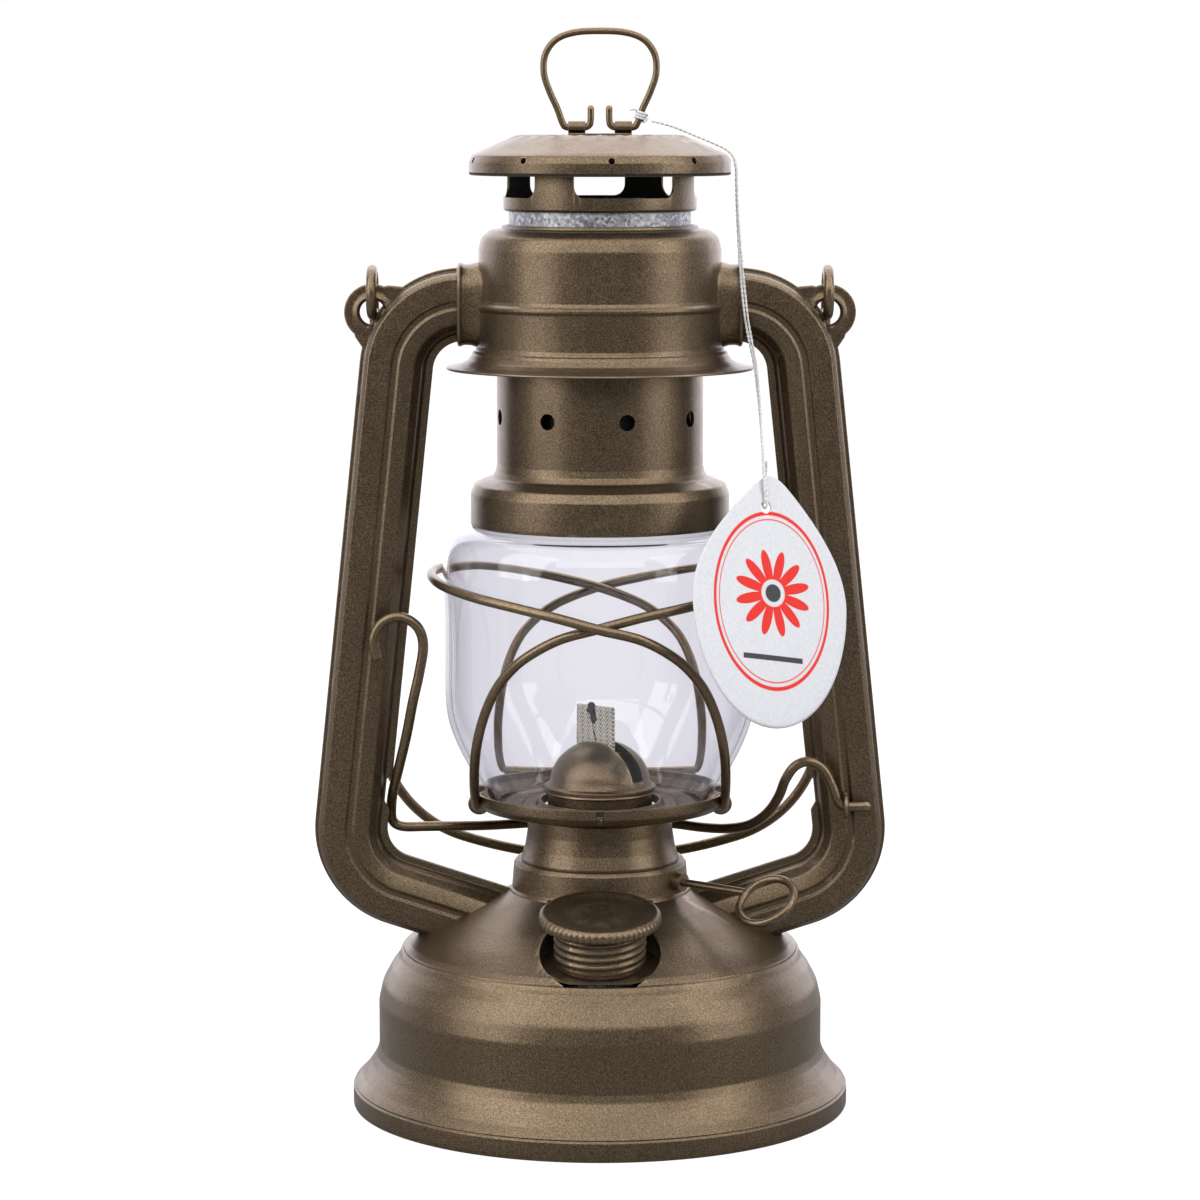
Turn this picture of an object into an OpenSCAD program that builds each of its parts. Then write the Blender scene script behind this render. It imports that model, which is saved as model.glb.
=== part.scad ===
// Tubular hurricane lantern: a pressed tank, two air tubes, a sprung chimney over a glass globe,
// a lever that raises the globe, a flat-wick burner, a carrying bail and a hang tag on a string.
// The origin is the centre of the base's underside, +Z is up and -Y is the front (filler) side.

/* [Tank] */
// Radius of the rim band that the lantern stands on
base_r = 66; // [65:0.5:67]
// Radius of the tank's straight wall
body_r = 59; // [58.5:0.1:59.5]
// Thickness of the thin bottom and top plates
plate_t = 0.8; // [0.6:0.1:1]
// Tilt of the filler neck towards the front
neck_tilt = 10; // [8:0.5:11]
// Radius of the filler cap's gripping rim
cap_r = 15.7; // [15:0.1:16]

/* [Tubes] */
// Distance from the lantern's axis to the centre of each top bend
top_bend_x = 36; // [35.8:0.1:36.2]
// Height of the centre of each top bend
top_bend_z = 195; // [194:0.5:196]
// Centreline radius of both bends
bend_r = 17.5; // [17.3:0.1:17.7]
// Half the width of a tube over its flanges
tube_half_w = 9.65; // [9.5:0.05:9.8]
// Depth of each stamped half of a tube
tube_depth = 8; // [7.6:0.1:8.2]

/* [Globe and chimney] */
// Greatest outer radius of the glass
globe_r = 41; // [40:0.1:41]
// Thickness of the glass
glass_t = 1.8; // [1.5:0.1:2.2]
// Outer radius of the chimney sleeve
sleeve_r = 27.1; // [26.8:0.1:27.3]
// Radius of the air holes in the sleeve
sleeve_hole_r = 2.1; // [1.5:0.1:2.5]
// Radius of the hood's rim
hood_r = 34.2; // [33.8:0.1:34.6]

/* [Wires] */
// Radius of the carrying bail's wire
bail_wire_r = 1.4; // [1.2:0.05:1.5]
// Distance of the bail's arms from the lantern's axis
bail_x = 59.6; // [59.4:0.1:59.8]
// Distance from the bail's hinge axis to the middle of its grip
bail_drop = 158.5; // [158:0.5:160]
// Backward lean of the bail where it hangs at rest
bail_lean = 7.5; // [7.5:0.5:10]
// Radius of the globe guard's wire
guard_wire_r = 1.3; // [1.1:0.05:1.35]
// Radius of the globe lever's wire
lever_wire_r = 1.35; // [1.2:0.05:1.4]
// Radius of the lifting ring's wire
ring_wire_r = 0.9; // [0.8:0.05:0.95]

/* [Burner] */
// Width of the flat wick
wick_w = 12.6; // [12:0.1:12.8]
// Thickness of the flat wick
wick_t = 1.8; // [1.6:0.1:1.9]
// Turn of the wick and its shaft from the +X axis towards the front
wick_turn = 40; // [38:1:42]
// Mean radius of the wick knob's ring
knob_r = 7.6; // [7:0.1:8]

/* [Hidden] */
$fn = 64;

lacquer = "#7a6a52";
zinc = "#a9adb2";
through = 100;           // length of a cutting tool that passes right through

// Filler: the foot of the neck's axis on the pocket's floor
neck_foot = [0, -39.5, 45];
pocket_r = 15.6;
neck_r = 10.4;
neck_top = 11.5;
thread_pitch = 2;
skirt_r = 11.4;

// Air tubes: both bends have one radius, so the run between them is parallel to their centres
low_bend_x = 48.7;
low_bend_z = 73.5;
run_len = norm([low_bend_x - top_bend_x, top_bend_z - low_bend_z]);
run_slant = atan((low_bend_x - top_bend_x) / (top_bend_z - low_bend_z));
foot_slant = 18;         // fall of the foot towards the tank
flange_t = 0.8;
ear_z = 210.5;
ear_hole_r = 3.3;
notch_z = [80, 87.6];

// Burner: everything on the wick's line is turned by wick_turn
wick_shift = -1.5;       // offset of the wick along its own width
wick_top_z = 106.4;
wick_foot_z = 13;
shaft_z = 61.2;
shaft_r = 1.05;
wheel_r = 2.9;
shaft_back = wheel_r + wick_t / 2 + 0.1;   // the wheels bear on the back of the wick
knob_at = 53.9;          // distance of the knob ring's centre along the shaft
knob_aside = 1.7;        // the ring's centre stands this far off the shaft's line
knob_roll = -50;         // turn of the knob's ring about its shaft

// Hinges
bail_z = 215.7;
bail_eye_r = 5.85;
bail_back = 9.6;         // the arms stand this far behind the hinge axis, clear of the tubes
ring_z = 258.6;
lug_x = 64.7;
lever_pin = [lug_x, -10.2, 81];

// Outlines of the pressed skins, [radius, height], from the bottom up
tank_line = concat(
    [[base_r, 0], [base_r, 5], [base_r - 0.7, 5.5]],
    [[63.2, 7.8], [61, 10.8], [59.7, 13.2]],
    [[body_r, 15.4], [body_r, 28.6]],
    [[58.5, 31], [57.3, 34], [55.6, 36.8], [54, 38.8], [53.1, 40.2], [52.8, 41.5]]);
cone_line = [[52.6, 41.6], [52, 42.6], [45, 46.9], [38, 50.6], [31, 53.9], [23.4, 57]];
canopy_line = [
    [40.1, 195.6], [37.4, 196.3], [35.4, 197.3], [34, 198.8], [33.5, 200], [32.9, 200.8],
    [32.4, 201.6], [32.4, 211.3], [32.8, 212], [32.4, 212.7], [31.8, 213.4], [31.8, 227],
    [31.3, 229.2], [29.9, 231.1], [27.6, 232.1], [25.7, 232.4], [25.5, 233.2], [24.9, 233.2]];
sleeve_line = [
    [34, 155], [34, 163.6], [33.4, 165.2], [31.8, 166.4], [29.2, 167.3], [27.7, 168.3],
    [sleeve_r, 169.8], [sleeve_r, 199]];
hood_line = [
    [hood_r, 246.2], [hood_r, 250.2], [33.6, 251.3], [32, 252.1], [25.5, 254.9], [23.6, 255.8],
    [22, 256.4], [0, 256.5]];

// One stamped half of a tube, [distance outwards from the centreline, depth]
tube_skin = [
    [tube_half_w, 0], [tube_half_w, flange_t], [8.4, flange_t], [8.2, 6.4], [7.2, tube_depth],
    [0.9, tube_depth], [0.4, 7.3], [-0.9, 7.3], [-1.4, 7.8], [-5, 6.4], [-6.8, 4.2],
    [-7.7, flange_t], [-tube_half_w, flange_t], [-tube_half_w, 0],
    [-6.9, 0], [-6.1, 3.8], [-4.6, 5.7], [-1.3, 7], [-1.2, 6.6], [0.7, 6.6], [1.1, 7.3],
    [6.8, 7.3], [7.5, 6.2], [7.6, 0]];

// The hang tag's string, from its knot on the lifting ring, over the hood's edge and down
string_r = 0.6;
string_route = [
    [14, -2.4, 260.2], [18, -3.8, 259.2], [22, -5.2, 257.7], [26, -6.6, 256],
    [29.5, -7.9, 254.5], [32.6, -9, 253], [34.4, -9.6, 251.2], [35.1, -9.9, 248.6],
    [35.3, -10, 244], [35.5, -10, 238], [36, -10, 230], [36.8, -10, 220], [38.2, -10, 208],
    [40.2, -10.4, 198], [41, -12, 191.5], [41.5, -14.9, 185], [41.8, -18.2, 179.5],
    [42, -21.6, 174.6], [42.2, -23.8, 170.3], [42.5, -25.2, 165.9], [42.7, -25.8, 162.8]];

// The tag hangs from the string by its tip
tag_w = 46.8;
tag_h = 66;
tag_t = 0.5;
tag_tip = [43.9, -21.6, 169.4];
tag_yaw = 32;
tag_lean = 16;
tag_tilt = -9.8;

// One wire from the hook, down and through the left tube's notch, round behind the burner
// and up over a loop to the pin on the right tube
lever_route = [
    [-58.6, -10.8, 121], [-59.3, -11, 125.5], [-57, -11, 129.8], [-52.5, -11, 131.4],
    [-48, -10.9, 129], [-46.3, -10.7, 124], [-47.4, -10.4, 116.5], [-49.2, -9.8, 108.5],
    [-51, -7.6, 99.5], [-53.2, -4, 90.5], [-55, 0, 83.4], [-55.7, 3.3, 78.5], [-55.5, 4.8, 74.6],
    [-53, 5.4, 72.8], [-47, 6.2, 72.6], [-39, 8, 72.4], [-31, 12, 71.8], [-23.5, 17.5, 71.2],
    [-13, 22.3, 71], [0, 24, 71], [13, 22.3, 71], [21, 18.4, 71], [27.5, 12.5, 71.2],
    [34, 6.5, 72], [40, 1.5, 74], [44.5, -2.5, 78], [47.3, -6, 83], [48.9, -9, 88],
    [51.4, -10.4, 91.8], [55, -10.6, 93], [58.8, -10.5, 90.8], [61.2, -10.3, 86.2],
    [62.7, -10.2, 82.4], [65, -10.2, 81], [70, -10.2, 81]];

// Half of the guard's wire, [turn from the front, height, radius]: front foot, across the front,
// round the side and across the back to the back bar
guard_turns = [
    [-78, 80.6, 33.4], [-66, 86, 36], [-56, 93, 39.4], [-49, 100, 42.2], [-45, 107, 42.7],
    [-40, 114, 42.7], [-34, 119.5, 42.7], [-26, 124.5, 42.7], [-14, 129.4, 42.7],
    [0, 132.4, 42.7], [14, 135, 42.7], [30, 137, 43], [48, 138.7, 43.4], [68, 140.2, 44],
    [88, 141.3, 44.4], [105, 141.6, 44.2], [125, 141, 43.4], [140, 139.6, 43], [154, 137.5, 42.7],
    [166, 135.4, 42.7], [180, 132.6, 42.7], [194, 129, 42.7], [203, 125.5, 42.7],
    [211, 120.5, 42.7], [216.5, 114, 42.7], [219.5, 107, 43], [220.5, 99, 43.9],
    [220.5, 91, 44.7], [219.8, 85, 45]];
guard_bar_y = 34.8;
guard_bar_z = 82.3;
guard_over = 2.7;        // how far one wire steps out over the other where they cross

function unit(v) = v / norm(v);

// Points along a circle in one plane
function arc(centre, r, from, to, steps) =
    [for (i = [0:steps]) let (a = from + (to - from) * i / steps)
        centre + r * [cos(a), sin(a)]];

// A smooth curve through every point of a route
function smooth(p, steps) = concat(
    [for (i = [0:len(p) - 2])
        let (a = p[max(i - 1, 0)], b = p[i], c = p[i + 1], d = p[min(i + 2, len(p) - 1)])
        for (k = [0:steps - 1]) let (t = k / steps)
            0.5 * (2 * b + (c - a) * t + (2 * a - 5 * b + 4 * c - d) * t * t
            + (3 * b - a - 3 * c + d) * t * t * t)],
    [p[len(p) - 1]]);

function headings(p) =
    [for (i = [0:len(p) - 1]) unit(p[min(i + 1, len(p) - 1)] - p[max(i - 1, 0)])];

// A side direction carried along the headings without twisting
function carried(t, i, n) =
    i == len(t) ? [] : let (m = unit(n - t[i] * (n * t[i]))) concat([m], carried(t, i + 1, m));

// A round wire or cord of one radius along points, as one closed skin
module wire(p, r, sides = 8) {
    t = headings(p);
    n = carried(t, 0, abs(t[0].z) > 0.9 ? [1, 0, 0] : [0, 0, 1]);
    rings = len(p);
    polyhedron(
        [for (i = [0:rings - 1]) for (k = [0:sides - 1])
            p[i] + r * (cos(360 * k / sides) * n[i] + sin(360 * k / sides) * cross(t[i], n[i]))],
        concat(
            [[for (k = [0:sides - 1]) k]],
            [[for (k = [sides - 1:-1:0]) (rings - 1) * sides + k]],
            [for (i = [0:rings - 2]) for (k = [0:sides - 1]) let (j = (k + 1) % sides)
                [i * sides + k, (i + 1) * sides + k, (i + 1) * sides + j, i * sides + j]]));
}

// A thin turned skin inside an outline; extra points close its top edge
module skin(line, in = 0.7, down = 0.5, extra = []) {
    floor_z = line[0].y;
    rotate_extrude() polygon(concat(
        line, extra,
        [for (i = [len(line) - 1:-1:0])
            [max(0, line[i].x - in), max(floor_z, line[i].y - down)]]));
}

// The solid of revolution under an outline
module solid_under(line) {
    rotate_extrude() polygon(concat([[0, line[0].y]], line, [[0, line[len(line) - 1].y]]));
}

module ring(r_out, r_in, z_low, z_high) {
    translate([0, 0, z_low]) difference() {
        cylinder(r = r_out, h = z_high - z_low);
        translate([0, 0, -1]) cylinder(r = r_in, h = z_high - z_low + 2);
    }
}

// ---- Tank and filler ----

// The filler's own frame: its axis is +Z and the pocket's floor is at zero
module on_neck() {
    translate(neck_foot) rotate([neck_tilt, 0, 0]) children();
}

module tank_shell() {
    color(lacquer) skin(tank_line);
}

module tank_bottom() {
    color(lacquer) translate([0, 0, 3.4]) cylinder(r = base_r - 0.7, h = plate_t);
}

// The plate between the fuel and the air chamber
module tank_top() {
    color(zinc) difference() {
        translate([0, 0, 37.6]) cylinder(r = 53.6, h = plate_t);
        cylinder(r = 14, h = through);
        on_neck() translate([0, 0, -20]) cylinder(r = neck_r, h = 40);
    }
}

// The air chamber's cover, with the pocket that the filler stands in
module air_cone() {
    color(lacquer) difference() {
        union() {
            skin(cone_line, 0.4, 0.7);
            intersection() {
                solid_under(cone_line);
                on_neck() translate([0, 0, -0.8]) cylinder(r = pocket_r + 0.8, h = 30);
            }
        }
        on_neck() cylinder(r = pocket_r, h = 40);
        on_neck() translate([0, 0, -20]) cylinder(r = neck_r, h = 40);
        for (side = [0, 1]) mirror([side, 0, 0]) on_foot() translate([-7, -6.3, -10]) cube([13, 12.6, 40]);
    }
}

// A wall with rolled ridges that stand for a thread
function ridges(r, rise, z_low, count) =
    [for (i = [0:count - 1]) let (z = z_low + i * thread_pitch)
        each [[r, z], [r + rise, z + 0.6], [r + rise, z + 1], [r, z + 1.6]]];

module filler_neck() {
    color(zinc) on_neck() rotate_extrude() polygon(concat(
        [[9.6, -7.6], [neck_r, -7.6]], ridges(neck_r, 0.3, 1.4, 5), [[neck_r, neck_top], [9.6, neck_top]]));
}

module filler_cap() {
    color(lacquer) on_neck() rotate_extrude() polygon(concat(
        [[skirt_r - 0.5, 12.6], [skirt_r - 0.5, 0.4], [skirt_r, 0.4]], ridges(skirt_r, 0.4, 0.6, 5),
        [[12.4, 11.3], [cap_r - 0.5, 11.3], [cap_r, 12], [cap_r, 13.7], [cap_r - 0.6, 14.6],
        [13.4, 14.4], [9.5, 13.6], [0, 13.6], [0, 12.6]]));
}

module filler_gasket() {
    color("#1e1e1e") on_neck() ring(10.8, 8.2, neck_top + 0.05, 12.55);
}

// ---- Burner ----

// The wick's own frame: X along its width, Y towards its back
module on_wick() {
    rotate([0, 0, -wick_turn]) translate([wick_shift, 0, 0]) children();
}

// The shaft's own frame: Z along the shaft, outwards
module on_shaft() {
    rotate([0, 0, -wick_turn]) translate([0, shaft_back, shaft_z]) rotate([0, 90, 0]) children();
}

module flat_tube(w, t, z_low, z_high) {
    translate([-w / 2, -t / 2, z_low]) cube([w, t, z_high - z_low]);
}

module burner_base() {
    color(zinc) difference() {
        union() {
            translate([0, 0, 36.6]) cylinder(r = 14, h = 2.6);
            translate([0, 0, 38.4]) cylinder(r = 16, h = 1.2);
        }
        on_wick() flat_tube(wick_w + 1.6, wick_t + 1.6, 30, 45);
    }
}

module wick_tube() {
    color("#b08d57") on_wick() difference() {
        flat_tube(wick_w + 1.6, wick_t + 1.6, 33, 94);
        flat_tube(wick_w + 0.5, wick_t + 0.4, 30, 97);
        // window for the wheels
        translate([-6.2, 0, shaft_z - 3.4]) cube([12.4, 10, 6.8]);
    }
}

module wick() {
    color("#e9e2d0") on_wick() flat_tube(wick_w, wick_t, wick_foot_z, wick_top_z);
}

module wick_knob() {
    color(lacquer) on_shaft() {
        translate([0, 0, -8]) cylinder(r = shaft_r, h = knob_at - knob_r + 8.3);
        rotate([0, 0, knob_roll]) translate([knob_aside, 0, knob_at]) rotate([90, 0, 0])
            rotate_extrude() translate([knob_r, 0]) circle(r = shaft_r, $fn = 24);
    }
}

module wick_wheels() {
    teeth = 12;
    color("#b08d57") on_shaft() for (at = [-6.5, -1.8, 2.9]) translate([0, 0, at])
        linear_extrude(1) difference() {
            polygon([for (i = [0:2 * teeth - 1])
                (i % 2 == 0 ? wheel_r : wheel_r - 0.6) * [cos(180 * i / teeth), sin(180 * i / teeth)]]);
            circle(r = shaft_r);
        }
}

module shaft_bush() {
    color(lacquer) on_shaft() ring(2.4, shaft_r + 0.05, 20.4, 25.4);
}

module burner_collar() {
    line = [[23.4, 57], [23.2, 59], [22.9, 64.6], [22.4, 65.3]];
    color(lacquer) difference() {
        skin(line, 0.7, 0, [[20.95, 65.3], [20.95, 64.6]]);
        on_shaft() cylinder(r = 2.4, h = through);
    }
}

module burner_cone() {
    line = [[20.9, 63.6], [20.9, 65.6], [19.9, 69], [19.3, 73], [19, 77], [18.5, 78]];
    color(lacquer) difference() {
        skin(line, 0.7, 0, [[13.9, 78], [13.9, 77.3], [18, 77.3]]);
        on_shaft() cylinder(r = 2, h = through);
    }
}

module burner_cup() {
    color(lacquer) difference() {
        rotate_extrude() polygon([
            [0, 79.2], [13.2, 79.2], [13.2, 77.4], [13.9, 77.4], [13.9, 83.4], [14.8, 83.4], [14.8, 84],
            [13.2, 84], [13.2, 80], [0, 80]]);
        on_wick() flat_tube(wick_w + 1.6, wick_t + 1.6, 70, 90);
        for (i = [0:9]) rotate([0, 0, 36 * i + 18 - wick_turn]) translate([10.6, 0, 70]) cylinder(r = 1, h = 20);
    }
}

module burner_dome() {
    dome_r = 13.3;
    dome_z = 84.4;
    color(lacquer) difference() {
        union() {
            rotate_extrude() polygon(concat(
                arc([0, dome_z], dome_r, 0, 90, 14), arc([0, dome_z], dome_r - 0.7, 90, 0, 14)));
            ring(14.8, 12.6, 84, 84.6);
        }
        on_wick() translate([-11.5, -1.9, 87.4]) cube([25, 3.8, 20]);
    }
}

// ---- Air tubes ----

// Frames along the right tube: X away from the lantern, Y into the depth, Z along the run
module on_run() {
    translate([top_bend_x, 0, top_bend_z]) rotate([0, -run_slant, 0]) translate([bend_r, 0, 0])
        mirror([0, 0, 1]) children();
}

module on_foot() {
    translate([low_bend_x, 0, low_bend_z]) rotate([0, 90 - foot_slant, 0]) translate([bend_r, 0, 0])
        mirror([0, 0, 1]) children();
}

module on_mouth() {
    translate([top_bend_x, 0, top_bend_z]) rotate([0, -90, 0]) translate([bend_r, 0, 0]) children();
}

module bend(centre, from, turn) {
    translate(centre) rotate([90, 0, 0]) rotate([0, 0, from]) rotate_extrude(angle = turn)
        translate([bend_r, 0]) polygon(tube_skin);
}

// A straight stretch of a half; it is a hair larger than the bends and laps into them
module straight(length) {
    mirror([0, 1, 0]) translate([0, 0, -0.3]) scale([1.002, 1.002, 1])
        linear_extrude(length + 0.6) polygon(tube_skin);
}

module ear() {
    web = [[bail_x, ear_z + 7.4], [48.5, 216.6], [50.5, 208], [57.2, 199], [61, 199.6],
        [66.2, 207.2], [bail_x, ear_z]];
    rotate([90, 0, 0]) {
        linear_extrude(flange_t) union() {
            translate([bail_x, ear_z]) circle(r = 7.4);
            polygon(web);
        }
        translate([bail_x, ear_z]) cylinder(r = 4.5, h = 1.5);
    }
}

// One pressed half of the right tube, on the front side
module tube_half() {
    difference() {
        union() {
            bend([top_bend_x, 0, top_bend_z], run_slant, 90 - run_slant);
            bend([low_bend_x, 0, low_bend_z], foot_slant - 90, run_slant + 90 - foot_slant);
            on_run() straight(run_len);
            on_foot() straight(40);
            on_mouth() straight(6);
            ear();
        }
        solid_under(cone_line);
        cylinder(r = cone_line[0].x, h = cone_line[0].y + 0.1);
        translate([0, 0, 190]) cylinder(r = 32.9, h = 50);
        translate([bail_x, 5, ear_z]) rotate([90, 0, 0]) cylinder(r = ear_hole_r, h = 10);
        translate([50, -2, notch_z[0]]) cube([7.3, 4, notch_z[1] - notch_z[0]]);
    }
}

module tube_left_front() {
    color(lacquer) mirror([1, 0, 0]) tube_half();
}

module tube_left_back() {
    color(lacquer) mirror([1, 0, 0]) mirror([0, 1, 0]) tube_half();
}

module tube_right_front() {
    color(lacquer) tube_half();
}

module tube_right_back() {
    color(lacquer) mirror([0, 1, 0]) tube_half();
}

// A block along X round a tube's mouth, with its four long edges cut off
module collar_block(x, length, half_y, half_z, cut) {
    translate([x, 0, top_bend_z + bend_r]) rotate([90, 0, 90]) linear_extrude(length) polygon([
        for (corner = [[1, 1], [-1, 1], [-1, -1], [1, -1]]) let (flip = corner.x * corner.y > 0)
            each [for (i = flip ? [0, 1] : [1, 0])
                [corner.x * (half_y - (i == 1 ? cut : 0)), corner.y * (half_z - (i == 0 ? cut : 0))]]]);
}

// The collar where a tube enters the canopy
module tube_collar() {
    color(lacquer) difference() {
        collar_block(28, 9.4, 9.1, 10.7, 3.4);
        collar_block(20, 40, tube_depth + 0.2, tube_half_w + 0.2, 2);
        solid_under(canopy_line);
    }
}

module tube_collar_left() {
    mirror([1, 0, 0]) tube_collar();
}

module tube_collar_right() {
    tube_collar();
}

// ---- Canopy and chimney ----

module canopy() {
    color(lacquer) difference() {
        skin(canopy_line);
        translate([-50, -7, 205.4]) cube([100, 14, 14.2]);
    }
}

// Sleeve and bell in one pressing; its top flange grips the inner tube
module chimney_sleeve() {
    color(lacquer) difference() {
        skin(sleeve_line, 0.7, 0.7, [[23.8, 199], [23.8, 198.3]]);
        for (i = [0:7]) rotate([0, 0, 45 * i + 15]) translate([0, 0, 183.4]) rotate([90, 0, 0])
            cylinder(r = sleeve_hole_r, h = 40, $fn = 24);
    }
}

module inner_tube() {
    color(zinc) ring(23.8, 23.2, 171, 239.8);
}

// A conical spring between the sleeve's flange and the canopy's roof
module chimney_spring() {
    turns = 3;
    steps = 18 * turns;
    color("#8c9096") wire([for (i = [0:steps]) let (s = i / steps, r = 25.8 + 3.6 * s)
        [r * cos(360 * turns * s), r * sin(360 * turns * s), 199.8 + 29.4 * s]], 0.7, 6);
}

module vent_ring() {
    color(lacquer) difference() {
        union() {
            ring(25.3, 24.6, 237, 254.2);
            ring(24.7, 23.8, 237, 237.8);
        }
        for (i = [0:3]) rotate([0, 0, 90 * i - 73.5 - 32]) rotate_extrude(angle = 64)
            translate([20, 240.5]) square([10, 6.8]);
    }
}

module hood() {
    holes = 9;
    color(lacquer) difference() {
        skin(hood_line, 0.7, 0.6);
        for (i = [0:holes - 1]) rotate([0, 0, 360 / holes * i + 5]) translate([0, -hood_r, 250.4])
            rotate([50, 0, 0]) cylinder(r = 0.8, h = 6, center = true, $fn = 16);
    }
}

module ring_lugs() {
    color(lacquer) {
        translate([-8.3, -2.5, 256.5]) cube([16.6, 5, 0.7]);
        for (side = [0, 1]) mirror([side, 0, 0]) translate([3.8, 0, ring_z]) rotate([0, 90, 0])
            ring(1.6, ring_wire_r + 0.08, 0, 4.5);
    }
}

module lifting_ring() {
    half = [[2.4, 263.4], [2.4, 260.8], [2.7, 259.3], [3.8, ring_z], [6, ring_z], [8.6, ring_z],
        [9.7, 259.6], [11.2, 263.6], [13.2, 268], [14.6, 272.6], [14.2, 277.4], [11.4, 281.2],
        [6.6, 283], [0, 283.4]];
    route = concat(
        [for (p = half) [-p.x, 0, p.y]],
        [for (i = [len(half) - 2:-1:0]) [half[i].x, 0, half[i].y]]);
    color(lacquer) wire(smooth(route, 3), ring_wire_r);
}

// ---- Globe, its carrier and its lever ----

module globe() {
    // radius and height of the outer face, from the foot to the mouth
    foot = [[28.8, 80.4], [29.5, 82], [31.2, 84.6], [33, 87.3], [34.8, 90.3], [37, 94.4], [39, 98.6],
        [40.4, 102.4]];
    shoulder = [[globe_r, 106], [globe_r, 137], [40.6, 141.5], [39.2, 146], [36.8, 149.6],
        [34, 152.2], [32.2, 154.4], [31.4, 157.5], [31.2, 165.2]];
    outer = concat(foot, shoulder);
    color("#e8eef2", 0.35) rotate_extrude() polygon(concat(
        outer, [for (i = [len(outer) - 1:-1:0]) [outer[i].x - glass_t, outer[i].y]]));
}

module globe_plate() {
    color(lacquer) difference() {
        union() {
            rotate_extrude() polygon([
                [15.6, 79.4], [29.8, 79.1], [31.9, 79.7], [33.1, 81.2], [33.3, 84], [32.6, 84],
                [32.4, 81.9], [31.2, 80.6], [29.6, 80], [17.2, 80.2], [16.4, 81.6], [15.6, 81.6]]);
            for (side = [-1, 1]) {
                // ear that grips the guard's foot
                translate([32 * side, -3.4, 80.6]) rotate([90, 0, 0]) cylinder(r = 3, h = 1.6);
                // tab that the lever lifts
                translate([9 * side - 0.5, 22.4, 73.1]) cube([1, 7.4, 6.4]);
            }
        }
        translate([0, -30, 82]) rotate([90, 0, 0]) cylinder(r = 0.7, h = 6, $fn = 16);
    }
}

// One half of the guard, stepping out over the other half near the turn given
function guard_half(side, over_at) = [for (g = guard_turns)
    let (near = max(0, 1 - abs(g[0] - over_at) / 28), r = g[2] + guard_over * near)
    [side * r * sin(g[0]), -r * cos(g[0]), g[1]]];

module globe_guard() {
    left = guard_half(1, 180);
    right = guard_half(-1, 0);
    bar = [for (x = [-27.6, -25, 0, 25, 27.6]) [x, guard_bar_y, guard_bar_z]];
    route = concat(left, bar, [for (i = [len(right) - 1:-1:0]) right[i]]);
    color(lacquer) wire(smooth(route, 2), guard_wire_r);
}

module globe_lever() {
    color(lacquer) wire(smooth(lever_route, 2), lever_wire_r);
}

// The bracket on the right tube's face that the lever's pin turns in
module lever_lug() {
    color(lacquer) translate([lug_x - 0.5, 0, 0]) rotate([90, 0, 90]) linear_extrude(1) difference() {
        union() {
            translate([lever_pin.y, lever_pin.z]) circle(r = 3.4);
            translate([-10.2, 76.4]) square([2.2, 9.2]);
        }
        translate([lever_pin.y, lever_pin.z]) circle(r = 1.9);
    }
}

// ---- Bail ----

module bail() {
    corner_r = 32;
    grip_r = 120;
    corner = [bail_x - corner_r, grip_r - bail_drop
        - sqrt(pow(grip_r - corner_r, 2) - pow(bail_x - corner_r, 2))];
    grip = [0, grip_r - bail_drop];
    turn = asin((bail_x - corner_r) / (grip_r - corner_r));
    eye = [for (a = [290:-15:5]) [bail_x, bail_eye_r * cos(a), bail_eye_r * sin(a)]];
    half = concat(
        eye,
        [for (p = [[5.9, -1], [6.6, -4], [7.9, -8], [9.1, -12]]) [bail_x, p.x, p.y]],
        [for (p = concat(
            [for (z = [-17, -60, -100]) [bail_x, z]],
            arc(corner, corner_r, 0, turn - 90, 9),
            arc(grip, grip_r, turn - 90, -90, 4))) [p.x, bail_back, p.y]]);
    route = concat(half, [for (i = [len(half) - 2:-1:0]) [-half[i].x, half[i].y, half[i].z]]);
    color(lacquer) translate([0, 0, bail_z]) rotate([bail_lean, 0, 0]) wire(route, bail_wire_r);
}

// ---- Hang tag ----

module string_knot() {
    color("#e8e6e0") translate([10.8, -0.2, 261.4]) rotate([0, 22, 0]) ring(1.9, ring_wire_r + 0.15, -1, 1);
}

module tag_string() {
    color("#e8e6e0") wire(smooth(string_route, 2), string_r);
}

module hang_tag() {
    low = tag_h / 2;
    outline = concat(
        [for (a = [180:12:360]) [tag_w / 2 * cos(a), -low + low * sin(a)]],
        [for (h = [0.15:0.17:1]) [tag_w / 2 * (1 - pow(h, 1.9)) + 0.8 * h, -low + low * h]]);
    left = [for (i = [len(outline) - 1:-1:16]) [-outline[i].x, outline[i].y]];
    color("#dfe0e2") translate(tag_tip) rotate([0, 0, tag_yaw]) rotate([90 - tag_lean, 0, 0])
        rotate([0, 0, tag_tilt]) linear_extrude(tag_t) difference() {
            polygon(concat(outline, left));
            translate([-1.9, -8.7]) circle(r = 1.5, $fn = 24);
        }
}

tank_shell();
tank_bottom();
tank_top();
air_cone();
filler_neck();
filler_cap();
filler_gasket();
burner_base();
burner_collar();
burner_cone();
burner_cup();
burner_dome();
wick_tube();
wick();
wick_knob();
wick_wheels();
shaft_bush();
tube_left_front();
tube_left_back();
tube_right_front();
tube_right_back();
tube_collar_left();
tube_collar_right();
canopy();
chimney_sleeve();
inner_tube();
chimney_spring();
vent_ring();
hood();
ring_lugs();
lifting_ring();
globe();
globe_plate();
globe_guard();
globe_lever();
lever_lug();
bail();
string_knot();
tag_string();
hang_tag();
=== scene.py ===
"""Looks for a tubular hurricane lantern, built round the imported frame. Metres; +Z up, -Y front."""
import math
import random

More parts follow.
